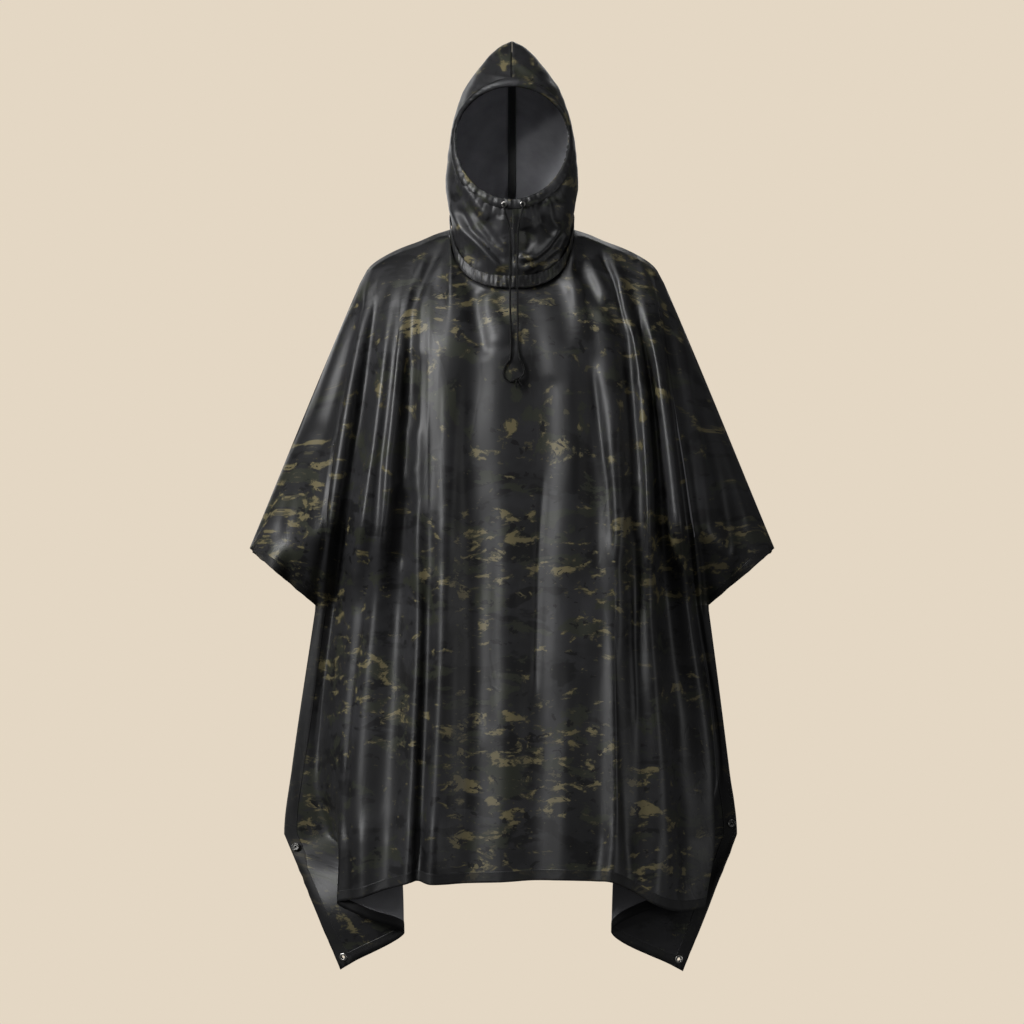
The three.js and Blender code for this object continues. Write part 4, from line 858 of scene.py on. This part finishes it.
SLEEVE_CREASES = [
    (5, 10, [(-236, -48), (-270, -194), (-305, -382), (-322, -500)]),
    (-3.2, 3.5, [(-272, -190), (-291, -330), (-315, -486), (-325, -570)]),
    (5, 10, [(-214, -52), (-246, -139), (-267, -250), (-291, -382), (-310, -520)]),
    (-7, 14.5, [(-250, -76), (-276, -170), (-304, -270), (-336, -380)]),
    (4, 11.5, [(-262, -90), (-316, -250), (-366, -400), (-392, -520)]),
    (-4, 13, [(-330, -300), (-372, -420), (-404, -520)]),
    (6, 10, [(225, -52), (250, -139), (257, -278), (271, -416), (285, -550)]),
    (-7, 10, [(256, -96), (278, -243), (292, -382), (313, -530)]),
    (5, 11.5, [(266, -100), (295, -226), (313, -347), (334, -530)]),
    (-5, 11.5, [(300, -200), (336, -330), (368, -470), (380, -560)]),
    (4, 11.5, [(318, -230), (366, -380), (402, -500)]),
    (-2.4, 3, [(312, -500), (322, -580), (326, -640)]),
]

LEVEL_ROWS = [30, 38, 30, 12, 22]
SLEEVE_COUNT = 34
ARC_STEP = 4.6


def panel_grid(panel, s):
    """A panel's even surface with both sleeves, and its first and last column that aren't sleeve."""
    ends = np.array([2.0, 5.0])
    probe = np.stack([panel.fold_points(j, ends, False) for j in range(panel.last + 1)], axis=1)
    arcs = np.linalg.norm(np.diff(probe, axis=1), axis=-1).max(axis=0)
    u = [0.0]
    for j, arc in enumerate(arcs):
        steps = max(5, int(round(arc * 1.12 / ARC_STEP)))
        u.extend(j + (k + 1) / steps for k in range(steps))
    u = np.array(u)
    body = panel.body(u, s)
    upper = s <= 2
    share = (np.arange(SLEEVE_COUNT) + 1) / SLEEVE_COUNT
    blank = np.full((len(s), SLEEVE_COUNT, 3), np.nan)
    left, right = blank.copy(), blank.copy()
    left[upper] = panel.sleeve(-1, share, s[upper])[:, ::-1]
    right[upper] = panel.sleeve(1, share, s[upper])
    grid = np.concatenate([left, body, right], axis=1)
    if panel.side == "back":
        grid = grid[:, ::-1]
    return grid, SLEEVE_COUNT, SLEEVE_COUNT + len(u) - 1


def body_panel(node, folds, side, table, look):
    panel = Panel(folds, side)
    s = np.concatenate([np.arange(n) / n + level for level, n in enumerate(LEVEL_ROWS)] + [[5.0]])
    grid, first, final = panel_grid(panel, s)
    # Lengths along the cloth in millimetres, and where the cloth was cut from
    rows_run = run_length(grid, 1)
    level_run = run_length(grid * np.array([1, 1, 0]), 1)
    middle = int(np.argmin(np.abs(grid[0, :, 0])))
    across = level_run - level_run[:, middle:middle + 1]
    short = np.isnan(grid[..., 0]).any(axis=1)
    across[short, :first] = across[short, first][:, None]
    across[short, final + 1:] = across[short, final][:, None]
    down = run_length(grid, 0)
    notch_row = int(np.searchsorted(s, 2.0))
    to_hem = np.where(np.isnan(grid[..., 0]), 0, down[-1:] - down)
    to_cuff = np.maximum(down[notch_row:notch_row + 1] - down, 0)
    to_side = np.minimum(rows_run - rows_run[:, first:first + 1], rows_run[:, final:final + 1] - rows_run)
    away = np.full(grid.shape[:2], 400.0)
    along = np.zeros(grid.shape[:2])
    j = np.arange(grid.shape[1])[None]
    on_body = (j >= first) & (j <= final)
    below = (s >= 2)[:, None]
    hem_first = to_hem < to_side * 0.8
    away = np.where(on_body & below, np.where(hem_first, to_hem, to_side * 0.8), away)
    along = np.where(on_body & below, np.where(hem_first, across, down), along)
    away = np.where(~on_body & ~below | (~on_body & (s == 2)[:, None]), to_cuff, away)
    along = np.where(~on_body, across, along)
    firm = np.where((s >= 1.2)[:, None], ease(np.abs(to_side) / 30), 1)
    grid = soften(grid, ease(down / 24) * firm * (1 - ease((s - 3.6) / 0.4))[:, None])
    normal = normals_of(grid)
    x, z = np.nan_to_num(grid[..., 0]), np.nan_to_num(grid[..., 2])
    cut_down = -z + 0.7 * stand_off(x, z, side) * ease((z + 420) / 300)
    seed = 11 if side == "front" else 47
    patchy = np.clip(0.5 + 0.5 * waves(seed, across, down * 0.4, 240), 0.15, 1)
    streaks = waves(seed + 1, across, down * 0.1, 36) * 0.15
    streaks = streaks + waves(seed + 2, across, down * 0.15, 80) * 0.6
    slant = waves(seed + 3, across + 0.25 * down, down * 0.5, 96) * 0.4
    relief = streaks * patchy + slant + creases(table, x, z) + creases(SLEEVE_CREASES, x, z)
    neck = np.where(on_body & (np.abs(x) < 150), down, 400)
    turn = np.arctan2(x, -z + 60) * 60
    pucker = waves(seed + 5, turn, down * 0.05, 13, 5)
    relief = relief * ease(neck / 26) + 1.5 * pucker * np.exp(-neck / 30) * ease((neck + 4) / 12)
    ripple = waves(seed + 6, along, away * 0.3, 16, 5)
    relief = relief + 0.4 * ripple * np.exp(-(away / 14) ** 2)
    ridge_fade = ease(down / 14)
    side_fade = np.where(below & on_body & (s <= 4.1)[:, None], ease(np.abs(to_side) / 16), 1)
    relief = relief * ridge_fade * side_fade * calm(grid, ["snap_" + side, "grommet_" + side])
    grid = grid + normal * relief[..., None]
    sign = panel.sign
    least = SEAM + CLOTH * ease(np.minimum(down, np.where(on_body & below, to_side, 400)) / 12)
    grid[..., 1] = np.where(np.isnan(grid[..., 1]), np.nan, sign * np.maximum(sign * grid[..., 1], least))
    thick = np.where(away < HEM_WIDTH, CLOTH + HEM_EXTRA, CLOTH) + np.zeros(grid.shape[:2])

    def keep(inner):
        inner[..., 1] = sign * np.maximum(sign * inner[..., 1], SEAM)
        return inner
    maps = uv_maps([across, cut_down], [along, away])
    piece = shell(node + ".cloth", grid, maps, thick, [look, COATING_LOOK], keep=keep)
    cut_holes(piece, ["grommet_" + side])
    stand_for(piece, node)
    return piece


# Hood
def hood_column(key, z):
    return through([(row[0], row[HOOD_KEYS[key]]) for row in HOOD], z)


def hood_point(angle, up, hand):
    angle, up = np.broadcast_arrays(np.asarray(angle, float), np.asarray(up, float))
    seam = neck_seam(angle)
    beside = np.sin(angle) ** 6
    seam_x = seam[..., 0] - NECK_INSET * beside
    seam_y = seam[..., 1] * (1 - (0.5 * NECK_INSET * beside) / NECK_HALF)
    seam_z = seam[..., 2] + NECK_LIFT
    z = lerp(seam_z, CROWN_Z, up)
    blend = ease((z - seam_z) / 70)
    s, c = np.sin(angle), np.cos(angle)
    middle = hood_column("middle", z)
    to_front = np.maximum(c, 0) ** hood_column("round", z)
    to_back = np.maximum(-c, 0) ** 0.8
    y = np.where(c > 0, lerp(middle, hood_column("front", z), to_front),
                 lerp(middle, hood_column("back", z), to_back))
    x = lerp(seam_x, hood_column("half", z) * s, blend)
    front = np.where(c > 0, ease(c * 2.5), 0)
    fade = ease((z - seam_z) / 34) * front
    out = 0
    for x1, z1, x2, z2, height, width in HOOD_FOLDS:
        dx, dz = x2 - x1, z2 - z1
        t = np.clip(((hand * x - x1) * dx + (z - z1) * dz) / (dx * dx + dz * dz), 0, 1)
        far = np.hypot(hand * x - x1 - t * dx, z - z1 - t * dz) / width
        out = out + height * np.exp(-far * far)
    y = lerp(seam_y, y, blend) - out * fade
    z = z + CROWN_RISE * s * s * ease((up - 0.9) / 0.1)
    return np.stack([hand * np.maximum(x, SEAM), y, z], axis=-1)


def on_hood(surface, left, angle, up):
    """Points or normals of the left half of the hood where left is true, else of the right half."""
    return np.where(left, surface(angle, up, -1), surface(angle, up, 1))


def hood_normal(angle, up, hand):
    h = 0.004

    def at(a, b):
        return hood_point(np.clip(a, 0.001, np.pi - 0.001), np.clip(b, 0, 1), hand)
    turned = at(angle + h, up) - at(angle - h, up)
    raised = at(angle, up + h) - at(angle, up - h)
    normal = np.cross(turned, raised)
    normal = normal / np.maximum(np.linalg.norm(normal, axis=-1, keepdims=True), 1e-9)
    outward = at(angle, up) - np.array([0, -10, 120])
    flip = np.where((normal * outward).sum(axis=-1) < 0, -1, 1)
    return normal * flip[..., None]


def face_edge(t):
    angle = np.pi * (t - 0.5)
    z = FACE["middle"] + np.where(angle > 0, FACE["up"], FACE["down"]) * np.sin(angle)
    x = FACE["half"] * np.maximum(np.cos(angle), 0)
    turn = np.arcsin(np.clip(x / hood_column("half", z), 0, 1))
    seam = neck_seam(turn)[..., 2]
    return np.stack([turn, (z - seam) / (CROWN_Z - seam)], axis=-1)


def outer_edge(t):
    low = np.stack([np.pi * t / HOOD_NAPE, np.zeros_like(t)], axis=-1)
    nape = np.stack([np.full_like(t, np.pi), (t - HOOD_NAPE) / (HOOD_CROWN - HOOD_NAPE)], axis=-1)
    crown = np.stack([np.pi * (1 - t) / (1 - HOOD_CROWN), np.ones_like(t)], axis=-1)
    return np.where((t < HOOD_NAPE)[..., None], low, np.where((t < HOOD_CROWN)[..., None], nape, crown))


HOOD_CREASES = [
    (5, 6, [(-108, 72), (-84, 16), (-54, -10), (-14, -54)]),
    (-6, 7.5, [(-94, 60), (-72, 14), (-44, -12), (-8, -46)]),
    (4.5, 7.5, [(-98, 122), (-72, 68), (-46, 38), (-24, 1), (4, -28)]),
    (-5, 9, [(-92, 118), (-66, 46), (-36, 8), (-10, -22)]),
    (4, 7.5, [(-84, 100), (-58, 62), (-30, 34)]),
    (-3, 7.5, [(-104, 150), (-100, 96), (-92, 60)]),
    (4.5, 4.5, [(98, 20), (77, -14), (51, -36), (14, -56)]),
    (-6, 6, [(88, 14), (68, -16), (46, -36), (10, -46)]),
    (5, 6, [(82, 18), (64, -12), (42, -32), (4, -34)]),
    (-4, 7.5, [(44, 66), (54, 28), (76, 0)]),
    (4, 7.5, [(58, 74), (64, 34), (84, 8)]),
    (-4, 10, [(20, 20), (30, -6), (24, -28)]),
    (3, 11, [(-14, 40), (-18, 8), (-8, -14)]),
    (3, 10, [(92, 150), (94, 96), (80, 56)]),
    (-2, 6, [(-40, 312), (-22, 304), (-2, 300)]),
    (1.4, 4, [(-58, 286), (-30, 276), (-3, 272)]),
    (-2, 6, [(-56, 270), (-30, 262), (-3, 262)]),
    (-2, 6, [(3, 318), (22, 308), (38, 300)]),
    (1.8, 4, [(3, 300), (26, 288), (50, 270)]),
    (-2, 6, [(3, 286), (32, 272), (60, 252)]),
    (-3, 11, [(-72, 288), (-94, 220), (-102, 150)]),
    (-3, 11, [(66, 290), (88, 230), (100, 160)]),
]


def hood_half(node, hand):
    t = np.linspace(0, 1, HOOD_COLUMNS * 6 + 1)
    r = np.concatenate([np.linspace(0, 0.1, 8)[:-1], np.linspace(0.1, 1, 62)])
    edge, outer = face_edge(t), outer_edge(t)
    where = edge[None] + (outer - edge)[None] * r[:, None, None]
    angle, up = where[..., 0], where[..., 1]
    grid = hood_point(angle, up, hand)
    normal = hood_normal(angle, up, hand)
    from_face = run_length(grid, 0)
    above = grid[..., 2] - neck_seam(angle)[..., 2]
    x, z = grid[..., 0], grid[..., 2]
    seed = 71 if hand < 0 else 93
    turn = angle * 100
    relief = creases(HOOD_CREASES, x, z) * ease(np.cos(angle) * 4)
    relief = relief + waves(seed, turn, z * 0.5, 80) * 0.4 + waves(seed + 1, turn * 0.4, z, 24) * 0.2
    low = 1 - ease(t[None] / 0.75)
    pucker = waves(seed + 3, t[None] * 640, from_face * 0.10, 15, 5)
    relief = relief * ease(from_face / 20) + pucker * (0.4 + 1.2 * low) * np.exp(-from_face / 20)
    gather = waves(seed + 4, turn, above * 0.06, 11, 5)
    relief = relief + gather * 1.5 * np.exp(-(np.maximum(above - 14, 0) / 26)) * ease(above / 8)
    centre = ease(np.abs(x) / 9)
    relief = relief * centre * ease(above / 10) * ease((CROWN_Z + 1 - z) / 12)
    relief = relief + 0.8 * np.exp(-((np.abs(x) - 3) / 2.5) ** 2) * ease(above / 30) * centre ** 0.2
    relief = relief * calm(grid, ["chin"], 12)
    grid = grid + normal * relief[..., None]
    grid[..., 0] = hand * np.maximum(hand * grid[..., 0], SEAM)
    flat_x = angle * np.maximum(hood_column("half", z), 30)
    maps = uv_maps([hand * flat_x, z], [z, np.abs(x)])
    if hand < 0:
        grid = grid[:, ::-1]
        maps = {name: values[:, ::-1] for name, values in maps.items()}

    def keep(inner):
        inner[..., 0] = hand * np.maximum(hand * inner[..., 0], SEAM)
        return inner
    thick = np.full(grid.shape[:2], CLOTH)
    piece = shell(node + ".cloth", grid, maps, thick, [HOOD_LOOKS[hand], HOOD_COATING_LOOK_PAINTED_LIGHT], keep=keep)
    stand_for(piece, node)
    return piece


BAND_GATHERS, BAND_HEIGHT, BAND_REACH = 44, 19.0, 145


def neck_band():
    count = BAND_GATHERS * 2 * 7
    turn = -np.pi + 2 * np.pi * np.arange(count) / count
    share = np.linspace(1, 0, 12)[:, None]
    angle = np.abs(turn)[None] + 0 * share
    hand = np.where(turn < 0, -1.0, 1.0)[None] + 0 * share
    seam = neck_seam(angle)[..., 2]
    beside = np.sin(angle) ** 4
    up = (1 + 4.5 * beside + share * BAND_HEIGHT) / (CROWN_Z - seam)
    round_phase = BAND_GATHERS * turn + 1.3 * np.sin(5 * turn + 1) + 0.8 * np.sin(11 * turn)
    gather = np.sin(round_phase)[None] * (0.7 + 0.3 * np.sin(3 * turn + 1))[None] * (1 - 0.4 * beside)
    uneven = waves(29, BAND_REACH * turn, 5 * share, 9, 7) * ease((np.pi - np.abs(turn)) / 0.2)
    gather = 0.35 * gather + 0.5 * uneven * (1 - 0.5 * beside)
    flare = 4 * ease(np.cos(turn))[None] * (1 - share)
    bulge = 0.8 * np.sin(np.pi * share)
    pinch = 0.5 * (np.exp(-((share - 0.12) / 0.05) ** 2) + np.exp(-((share - 0.88) / 0.05) ** 2))
    out = 4.4 - 1.9 * beside + ease(-np.cos(turn))[None] + 0.8 * gather + flare + bulge - pinch
    left = hand[..., None] < 0
    point, normal = on_hood(hood_point, left, angle, up), on_hood(hood_normal, left, angle, up)
    centre = np.sin(angle) < 1e-6
    point[..., 0][centre] = 0
    normal[..., 0][centre] = 0
    level = np.hypot(normal[..., 0], normal[..., 1])
    outward = np.stack([normal[..., 0] / level, normal[..., 1] / level, 0 * level], axis=-1)
    grid = point + outward * out[..., None]
    run = np.concatenate([turn, [np.pi]])[None] * BAND_REACH + 0 * share
    tall = share * BAND_HEIGHT + 0 * run
    maps = uv_maps([run, tall], [run, np.minimum(tall, BAND_HEIGHT - tall)])
    thick = np.full(grid.shape[:2], 1.0)
    piece = shell("neck_band.cloth", grid, maps, thick, [BAND_LOOK, BAND_LOOK], wrap=True)
    stand_for(piece, "neck_band")
    return piece


CASING_GATHERS, CASING_WIDTH, CASING_REACH = 30, 17.0, 330


def face_casing():
    count = CASING_GATHERS * 2 * 8
    turn = 2 - 2 * np.arange(count) / count
    t = np.where(turn <= 1, turn, 2 - turn)
    hand = np.where(turn <= 1, -1.0, 1.0)
    share = np.linspace(0.02, 1, 13)[:, None]
    edge, outer = face_edge(t), outer_edge(t)
    inside = on_hood(hood_point, hand[:, None] < 0, edge[:, 0], edge[:, 1])
    ring = edge + (outer - edge) * 0.1
    next_in = on_hood(hood_point, hand[:, None] < 0, ring[:, 0], ring[:, 1])
    width = CASING_WIDTH / np.maximum(np.linalg.norm(next_in - inside, axis=-1) * 10, 40)
    where = edge[None] + (outer - edge)[None] * (width[None] * share)[..., None]
    angle, up = where[..., 0], where[..., 1]
    left = (hand < 0)[None, :, None]
    point, normal = on_hood(hood_point, left, angle, up), on_hood(hood_normal, left, angle, up)
    centre = ((t < 1e-6) | (t > 1 - 1e-6))[None] & np.ones_like(angle, bool)
    point[..., 0][centre] = 0
    normal[..., 0][centre] = 0
    low = (1 - ease(np.minimum(turn, 2 - turn) / 0.75))[None]
    phase = np.pi * CASING_GATHERS * turn + 1.1 * np.sin(9 * turn) + 0.7 * np.sin(23 * turn)
    gather = np.sin(phase)[None] * (0.25 + 0.6 * low) + 0.3 * np.sin(2.3 * phase)[None] * (0.3 + low)
    swell = np.sin(np.pi * np.clip(share, 0, 1)) ** 0.8
    out = 1.2 + 2.6 * swell + gather * (0.55 + 0.45 * swell)
    grid = point + normal * out[..., None]
    run = np.concatenate([turn, [0.0]])[None] * CASING_REACH + 0 * share
    tall = share * CASING_WIDTH + 0 * run
    maps = uv_maps([run, tall], [run, CASING_WIDTH - tall])
    thick = np.full(grid.shape[:2], 1.0)
    piece = shell("face_casing.cloth", grid, maps, thick, [CASING_LOOK, CASING_LOOK], wrap=True)
    stand_for(piece, "face_casing")
    return piece


TAPE_HALF, TAPE_IN = 6.8, 3.0


def seam_tape():
    up = np.linspace(0.03, 0.96, 90)[:, None]
    share = np.linspace(-1, 1, 13)[None]
    z = lerp(NECK_SIDE_Z + 4, CROWN_Z, up)
    angle = np.pi - np.arcsin(np.clip(np.abs(share) * TAPE_HALF / hood_column("half", z), 0, 0.9))
    up = up + 0 * share
    left = (share < 0)[..., None] & np.ones_like(up, bool)[..., None]
    point, normal = on_hood(hood_point, left, angle, up), on_hood(hood_normal, left, angle, up)
    wave = 0.25 * waves(5, z, 6 * share, 30, 5)
    grid = point - normal * (TAPE_IN + wave)[..., None]
    run = z + 0 * share
    tall = (1 - np.abs(share)) * TAPE_HALF + 0 * up
    maps = uv_maps([run, tall], [run, tall])
    n = Nodes("tape")
    edge = n.uv("edge")
    thread, _ = stitches(n, edge, (0.0012,), 0.0034)
    colour = n.mix(n.noise(edge, 300.0, 3.0), rgb(28, 28, 28), rgb(44, 44, 43))
    height = n.math("MULTIPLY_ADD", thread, 0.0002, n.math("MULTIPLY", n.noise(edge, 160.0, 2.0), 0.0004))
    look = n.finish(Base_Color=n.mix(thread, colour, rgb(52, 52, 52)), Roughness=0.5, Normal=bump(n, height))
    piece = shell("hood_seam_tape.tape", grid, maps, np.full(grid.shape[:2], 0.7), [look, look])
    stand_for(piece, "hood_seam_tape")
    return piece


# Drawcord, by the same route points as the solids
CORD, KNOT_CORD = 3.4, 3.1
CORD_LEFT = [
    (-13.6, -132.7, 58), (-13.6, -136.3, 57.8), (-13.3, -140.6, 55), (-12.4, -142.4, 49.5),
    (-10.6, -142.2, 41), (-7.2, -141.4, 30), (-4.6, -140.8, 15), (-3.6, -140.2, -5),
    (-3.4, -139.6, -30), (-3.4, -139.2, -60), (-3.2, -139, -90), (-3, -139, -115),
    (-2.6, -139.8, -138), (-2.2, -141.6, -160), (-2, -146, -180), (-2.2, -150.4, -195),
    (-5, -152.4, -206), (-11, -153.9, -215), (-14.6, -155.4, -226), (-12.6, -156, -235.5),
    (-6, -155.9, -241), (-0.5, -155.7, -241.6), (4.6, -155.7, -240.2),
]
CORD_RIGHT = [
    (18.7, -131.5, 58), (18.7, -135.2, 57.8), (18.3, -139.8, 55), (17.4, -141.6, 49.5),
    (15.4, -141.5, 41), (12.4, -141, 30), (10.2, -140.4, 15), (9.4, -139.8, -5),
    (9.2, -139.2, -30), (9.2, -138.9, -60), (9.2, -138.7, -90), (9.4, -138.7, -115),
    (9.6, -139.4, -138), (9.8, -141.2, -160), (10.2, -145.4, -180), (11.2, -149.4, -195),
    (14.6, -150.6, -206), (19.2, -151.4, -216), (20.4, -152.8, -226), (18.6, -154.2, -232),
    (14.7, -155.5, -235.6),
]
KNOT = (10.0, -155.7, -239.0)
KNOT_TAILS = [
    [(9.2, -156.5, -240), (8.0, -156.8, -244), (7.4, -156.9, -248.5), (7.6, -157, -251.4)],
    [(12, -156, -240), (14, -156.4, -243.5), (15.6, -156.6, -247), (16.0, -156.7, -249.6)],
]


def tube(name, routes, radius, look, sides=18, taper=False):
    """Round cord along each route of points, with a braid's shallow waves."""
    vertices, faces, uvs = [], [], []
    for points, closed in routes:
        points = np.array(points, float)
        count = len(points)
        if closed:
            tangent = np.roll(points, -1, axis=0) - np.roll(points, 1, axis=0)
        else:
            tangent = np.gradient(points, axis=0)
        tangent /= np.linalg.norm(tangent, axis=-1, keepdims=True)
        side = np.cross(tangent[0], [0.3, 1, 0.1])
        run = 0.0
        base = len(vertices)
        for k in range(count):
            side = side - tangent[k] * (side @ tangent[k])
            side /= np.linalg.norm(side)
            up = np.cross(tangent[k], side)
            if k:
                run += np.linalg.norm(points[k] - points[k - 1])
            for m in range(sides):
                a = 2 * math.pi * m / sides
                r = radius * (1 + 0.025 * math.sin(4 * a + run * 1.8))
                vertices.append(points[k] + r * (math.cos(a) * side + math.sin(a) * up))
        lengths = np.concatenate([[0], np.cumsum(np.linalg.norm(np.diff(points, axis=0), axis=1))]) / 1000
        for k in range(count if closed else count - 1):
            for m in range(sides):
                a, b = base + k * sides, base + ((k + 1) % count) * sides
                faces.append((a + m, a + (m + 1) % sides, b + (m + 1) % sides, b + m))
                ends = (lengths[k], lengths[(k + 1) % count])
                uvs.append([(m / sides, ends[0]), ((m + 1) / sides, ends[0]), ((m + 1) / sides, ends[1]),
                            (m / sides, ends[1])])
        if not closed:
            for start, flip in ((base, True), (base + (count - 1) * sides, False)):
                ring = list(range(start, start + sides))
                faces.append(tuple(reversed(ring) if flip else ring))
                uvs.append([(0.0, 0.0)] * sides)
    return closed_piece(name, [v / 1000 for v in vertices], faces, look, uvs)


def fine_route(points, spacing=0.9):
    points = np.array(points, float)
    dense = catmull(points, np.linspace(0, len(points) - 1, 40 * len(points)))
    run = np.concatenate([[0], np.cumsum(np.linalg.norm(np.diff(dense, axis=0), axis=1))])
    at = np.linspace(0, run[-1], max(8, int(run[-1] / spacing)))
    return np.stack([np.interp(at, run, dense[:, k]) for k in range(3)], axis=1), run[-1]


def knot_route():
    t = np.linspace(0, 2 * np.pi, 72, endpoint=False)
    size = 1.15
    x = size * (np.sin(t) + 2 * np.sin(2 * t))
    z = size * (np.cos(t) - 2 * np.cos(2 * t))
    y = -2.4 * np.sin(3 * t)
    return np.stack([x + KNOT[0], y + KNOT[1] - 0.4, z + KNOT[2]], axis=1)


# Camera: level with the middle of the garment, far off with a long lens
FRAME_WIDTH = 1.7408
CAMERA_FAR = 14.0
camera_data = bpy.data.cameras.new("camera")
camera_data.sensor_width = 36
camera_data.lens = 36 * (CAMERA_FAR - 0.06) / FRAME_WIDTH
camera = new_object("camera", camera_data)
camera.location = (0.0, -CAMERA_FAR, -0.4624)
camera.rotation_euler = (math.pi / 2, 0, 0)
bpy.context.scene.camera = camera

# Cords come first
tails = [(fine_route(tail)[0], False) for tail in KNOT_TAILS]
knot = tube("drawcord_knot.cord", [(knot_route(), True)] + tails, KNOT_CORD / 2, CORD_LOOK, sides=14)
stand_for(knot, "drawcord_knot")
for node, points in (("drawcord_left", CORD_LEFT), ("drawcord_right", CORD_RIGHT)):
    route, length = fine_route(points)
    strand = tube(node + ".cord", [(route, False)], CORD / 2, CORD_LOOK)
    stand_for(strand, node)

front_cloth = body_panel("front_panel", FRONT_FOLDS, "front", FRONT_CREASES, BODY_LOOKS["front"])
back_cloth = body_panel("back_panel", BACK_FOLDS, "back", BACK_CREASES, BODY_LOOKS["back"])
hood_left = hood_half("hood_left", -1)
hood_right = hood_half("hood_right", 1)
band = neck_band()
casing = face_casing()
tape = seam_tape()


# Stage: a plain pale floor, soft lights and an even surround
def area_light(name, at, aim, size, power, spread=180):
    data = bpy.data.lights.new(name, "AREA")
    data.shape = "RECTANGLE"
    data.size, data.size_y = size
    data.energy = power
    data.spread = math.radians(spread)
    light = new_object(name, data)
    light.location = at
    light.rotation_euler = (Vector(aim) - Vector(at)).to_track_quat("-Z", "Y").to_euler()
    light.visible_camera = False


BACKDROP = rgb(228, 215, 196)
area_light("key", (-3.3, -3.0, 1.9), (0, 0, -0.12), (1.7, 2.8), 15.5, spread=34)
area_light("inside", (-1.5, -3.2, 0.9), (0.03, 0, 0.14), (0.3, 0.3), 0.07, spread=12)
area_light("fill", (4.2, -1.6, -1.0), (0, 0, -0.8), (1.4, 2.0), 19)
area_light("top", (-0.7, -1.8, 2.8), (0, 0, 0), (1.8, 1.2), 22)
area_light("back", (0.4, 4.6, 1.2), (0, 0, -0.4), (1.8, 2.0), 30)
area_light("back_left", (-1.6, 4.0, 0.4), (0, 0, -0.6), (1.6, 2.4), 24)

world = bpy.data.worlds.new("surround")
bpy.context.scene.world = world
world.use_nodes = True
tree = world.node_tree
surround = tree.nodes["Background"]
surround.inputs["Color"].default_value = (0.60, 0.60, 0.61, 1)
surround.inputs["Strength"].default_value = 0.10
seen = tree.nodes.new("ShaderNodeBackground")
seen.inputs["Color"].default_value = BACKDROP
choose = tree.nodes.new("ShaderNodeMixShader")
ray = tree.nodes.new("ShaderNodeLightPath")
tree.links.new(ray.outputs["Is Camera Ray"], choose.inputs[0])
tree.links.new(surround.outputs[0], choose.inputs[1])
tree.links.new(seen.outputs[0], choose.inputs[2])
tree.links.new(choose.outputs[0], tree.nodes["World Output"].inputs["Surface"])

floor_mesh = bpy.data.meshes.new("floor")
floor_mesh.from_pydata([(-3, -3, 0), (3, -3, 0), (3, 3, 0), (-3, 3, 0)], [], [(0, 1, 2, 3)])
floor = new_object("floor", floor_mesh)
floor.location = (0, 0, -1.75)
floor_look = Nodes("floor_paper")
paper = floor_look.noise(floor_look.add("ShaderNodeTexCoord").outputs["Object"], 3.0, 2.0)
floor_mesh.materials.append(floor_look.finish(
    Base_Color=floor_look.mix(paper, BACKDROP, rgb(232, 219, 200)), Roughness=0.9))
floor.is_shadow_catcher = True
floor.visible_diffuse = False
floor.visible_glossy = False

bpy.context.scene.view_settings.view_transform = "Standard"
bpy.context.view_layer.update()
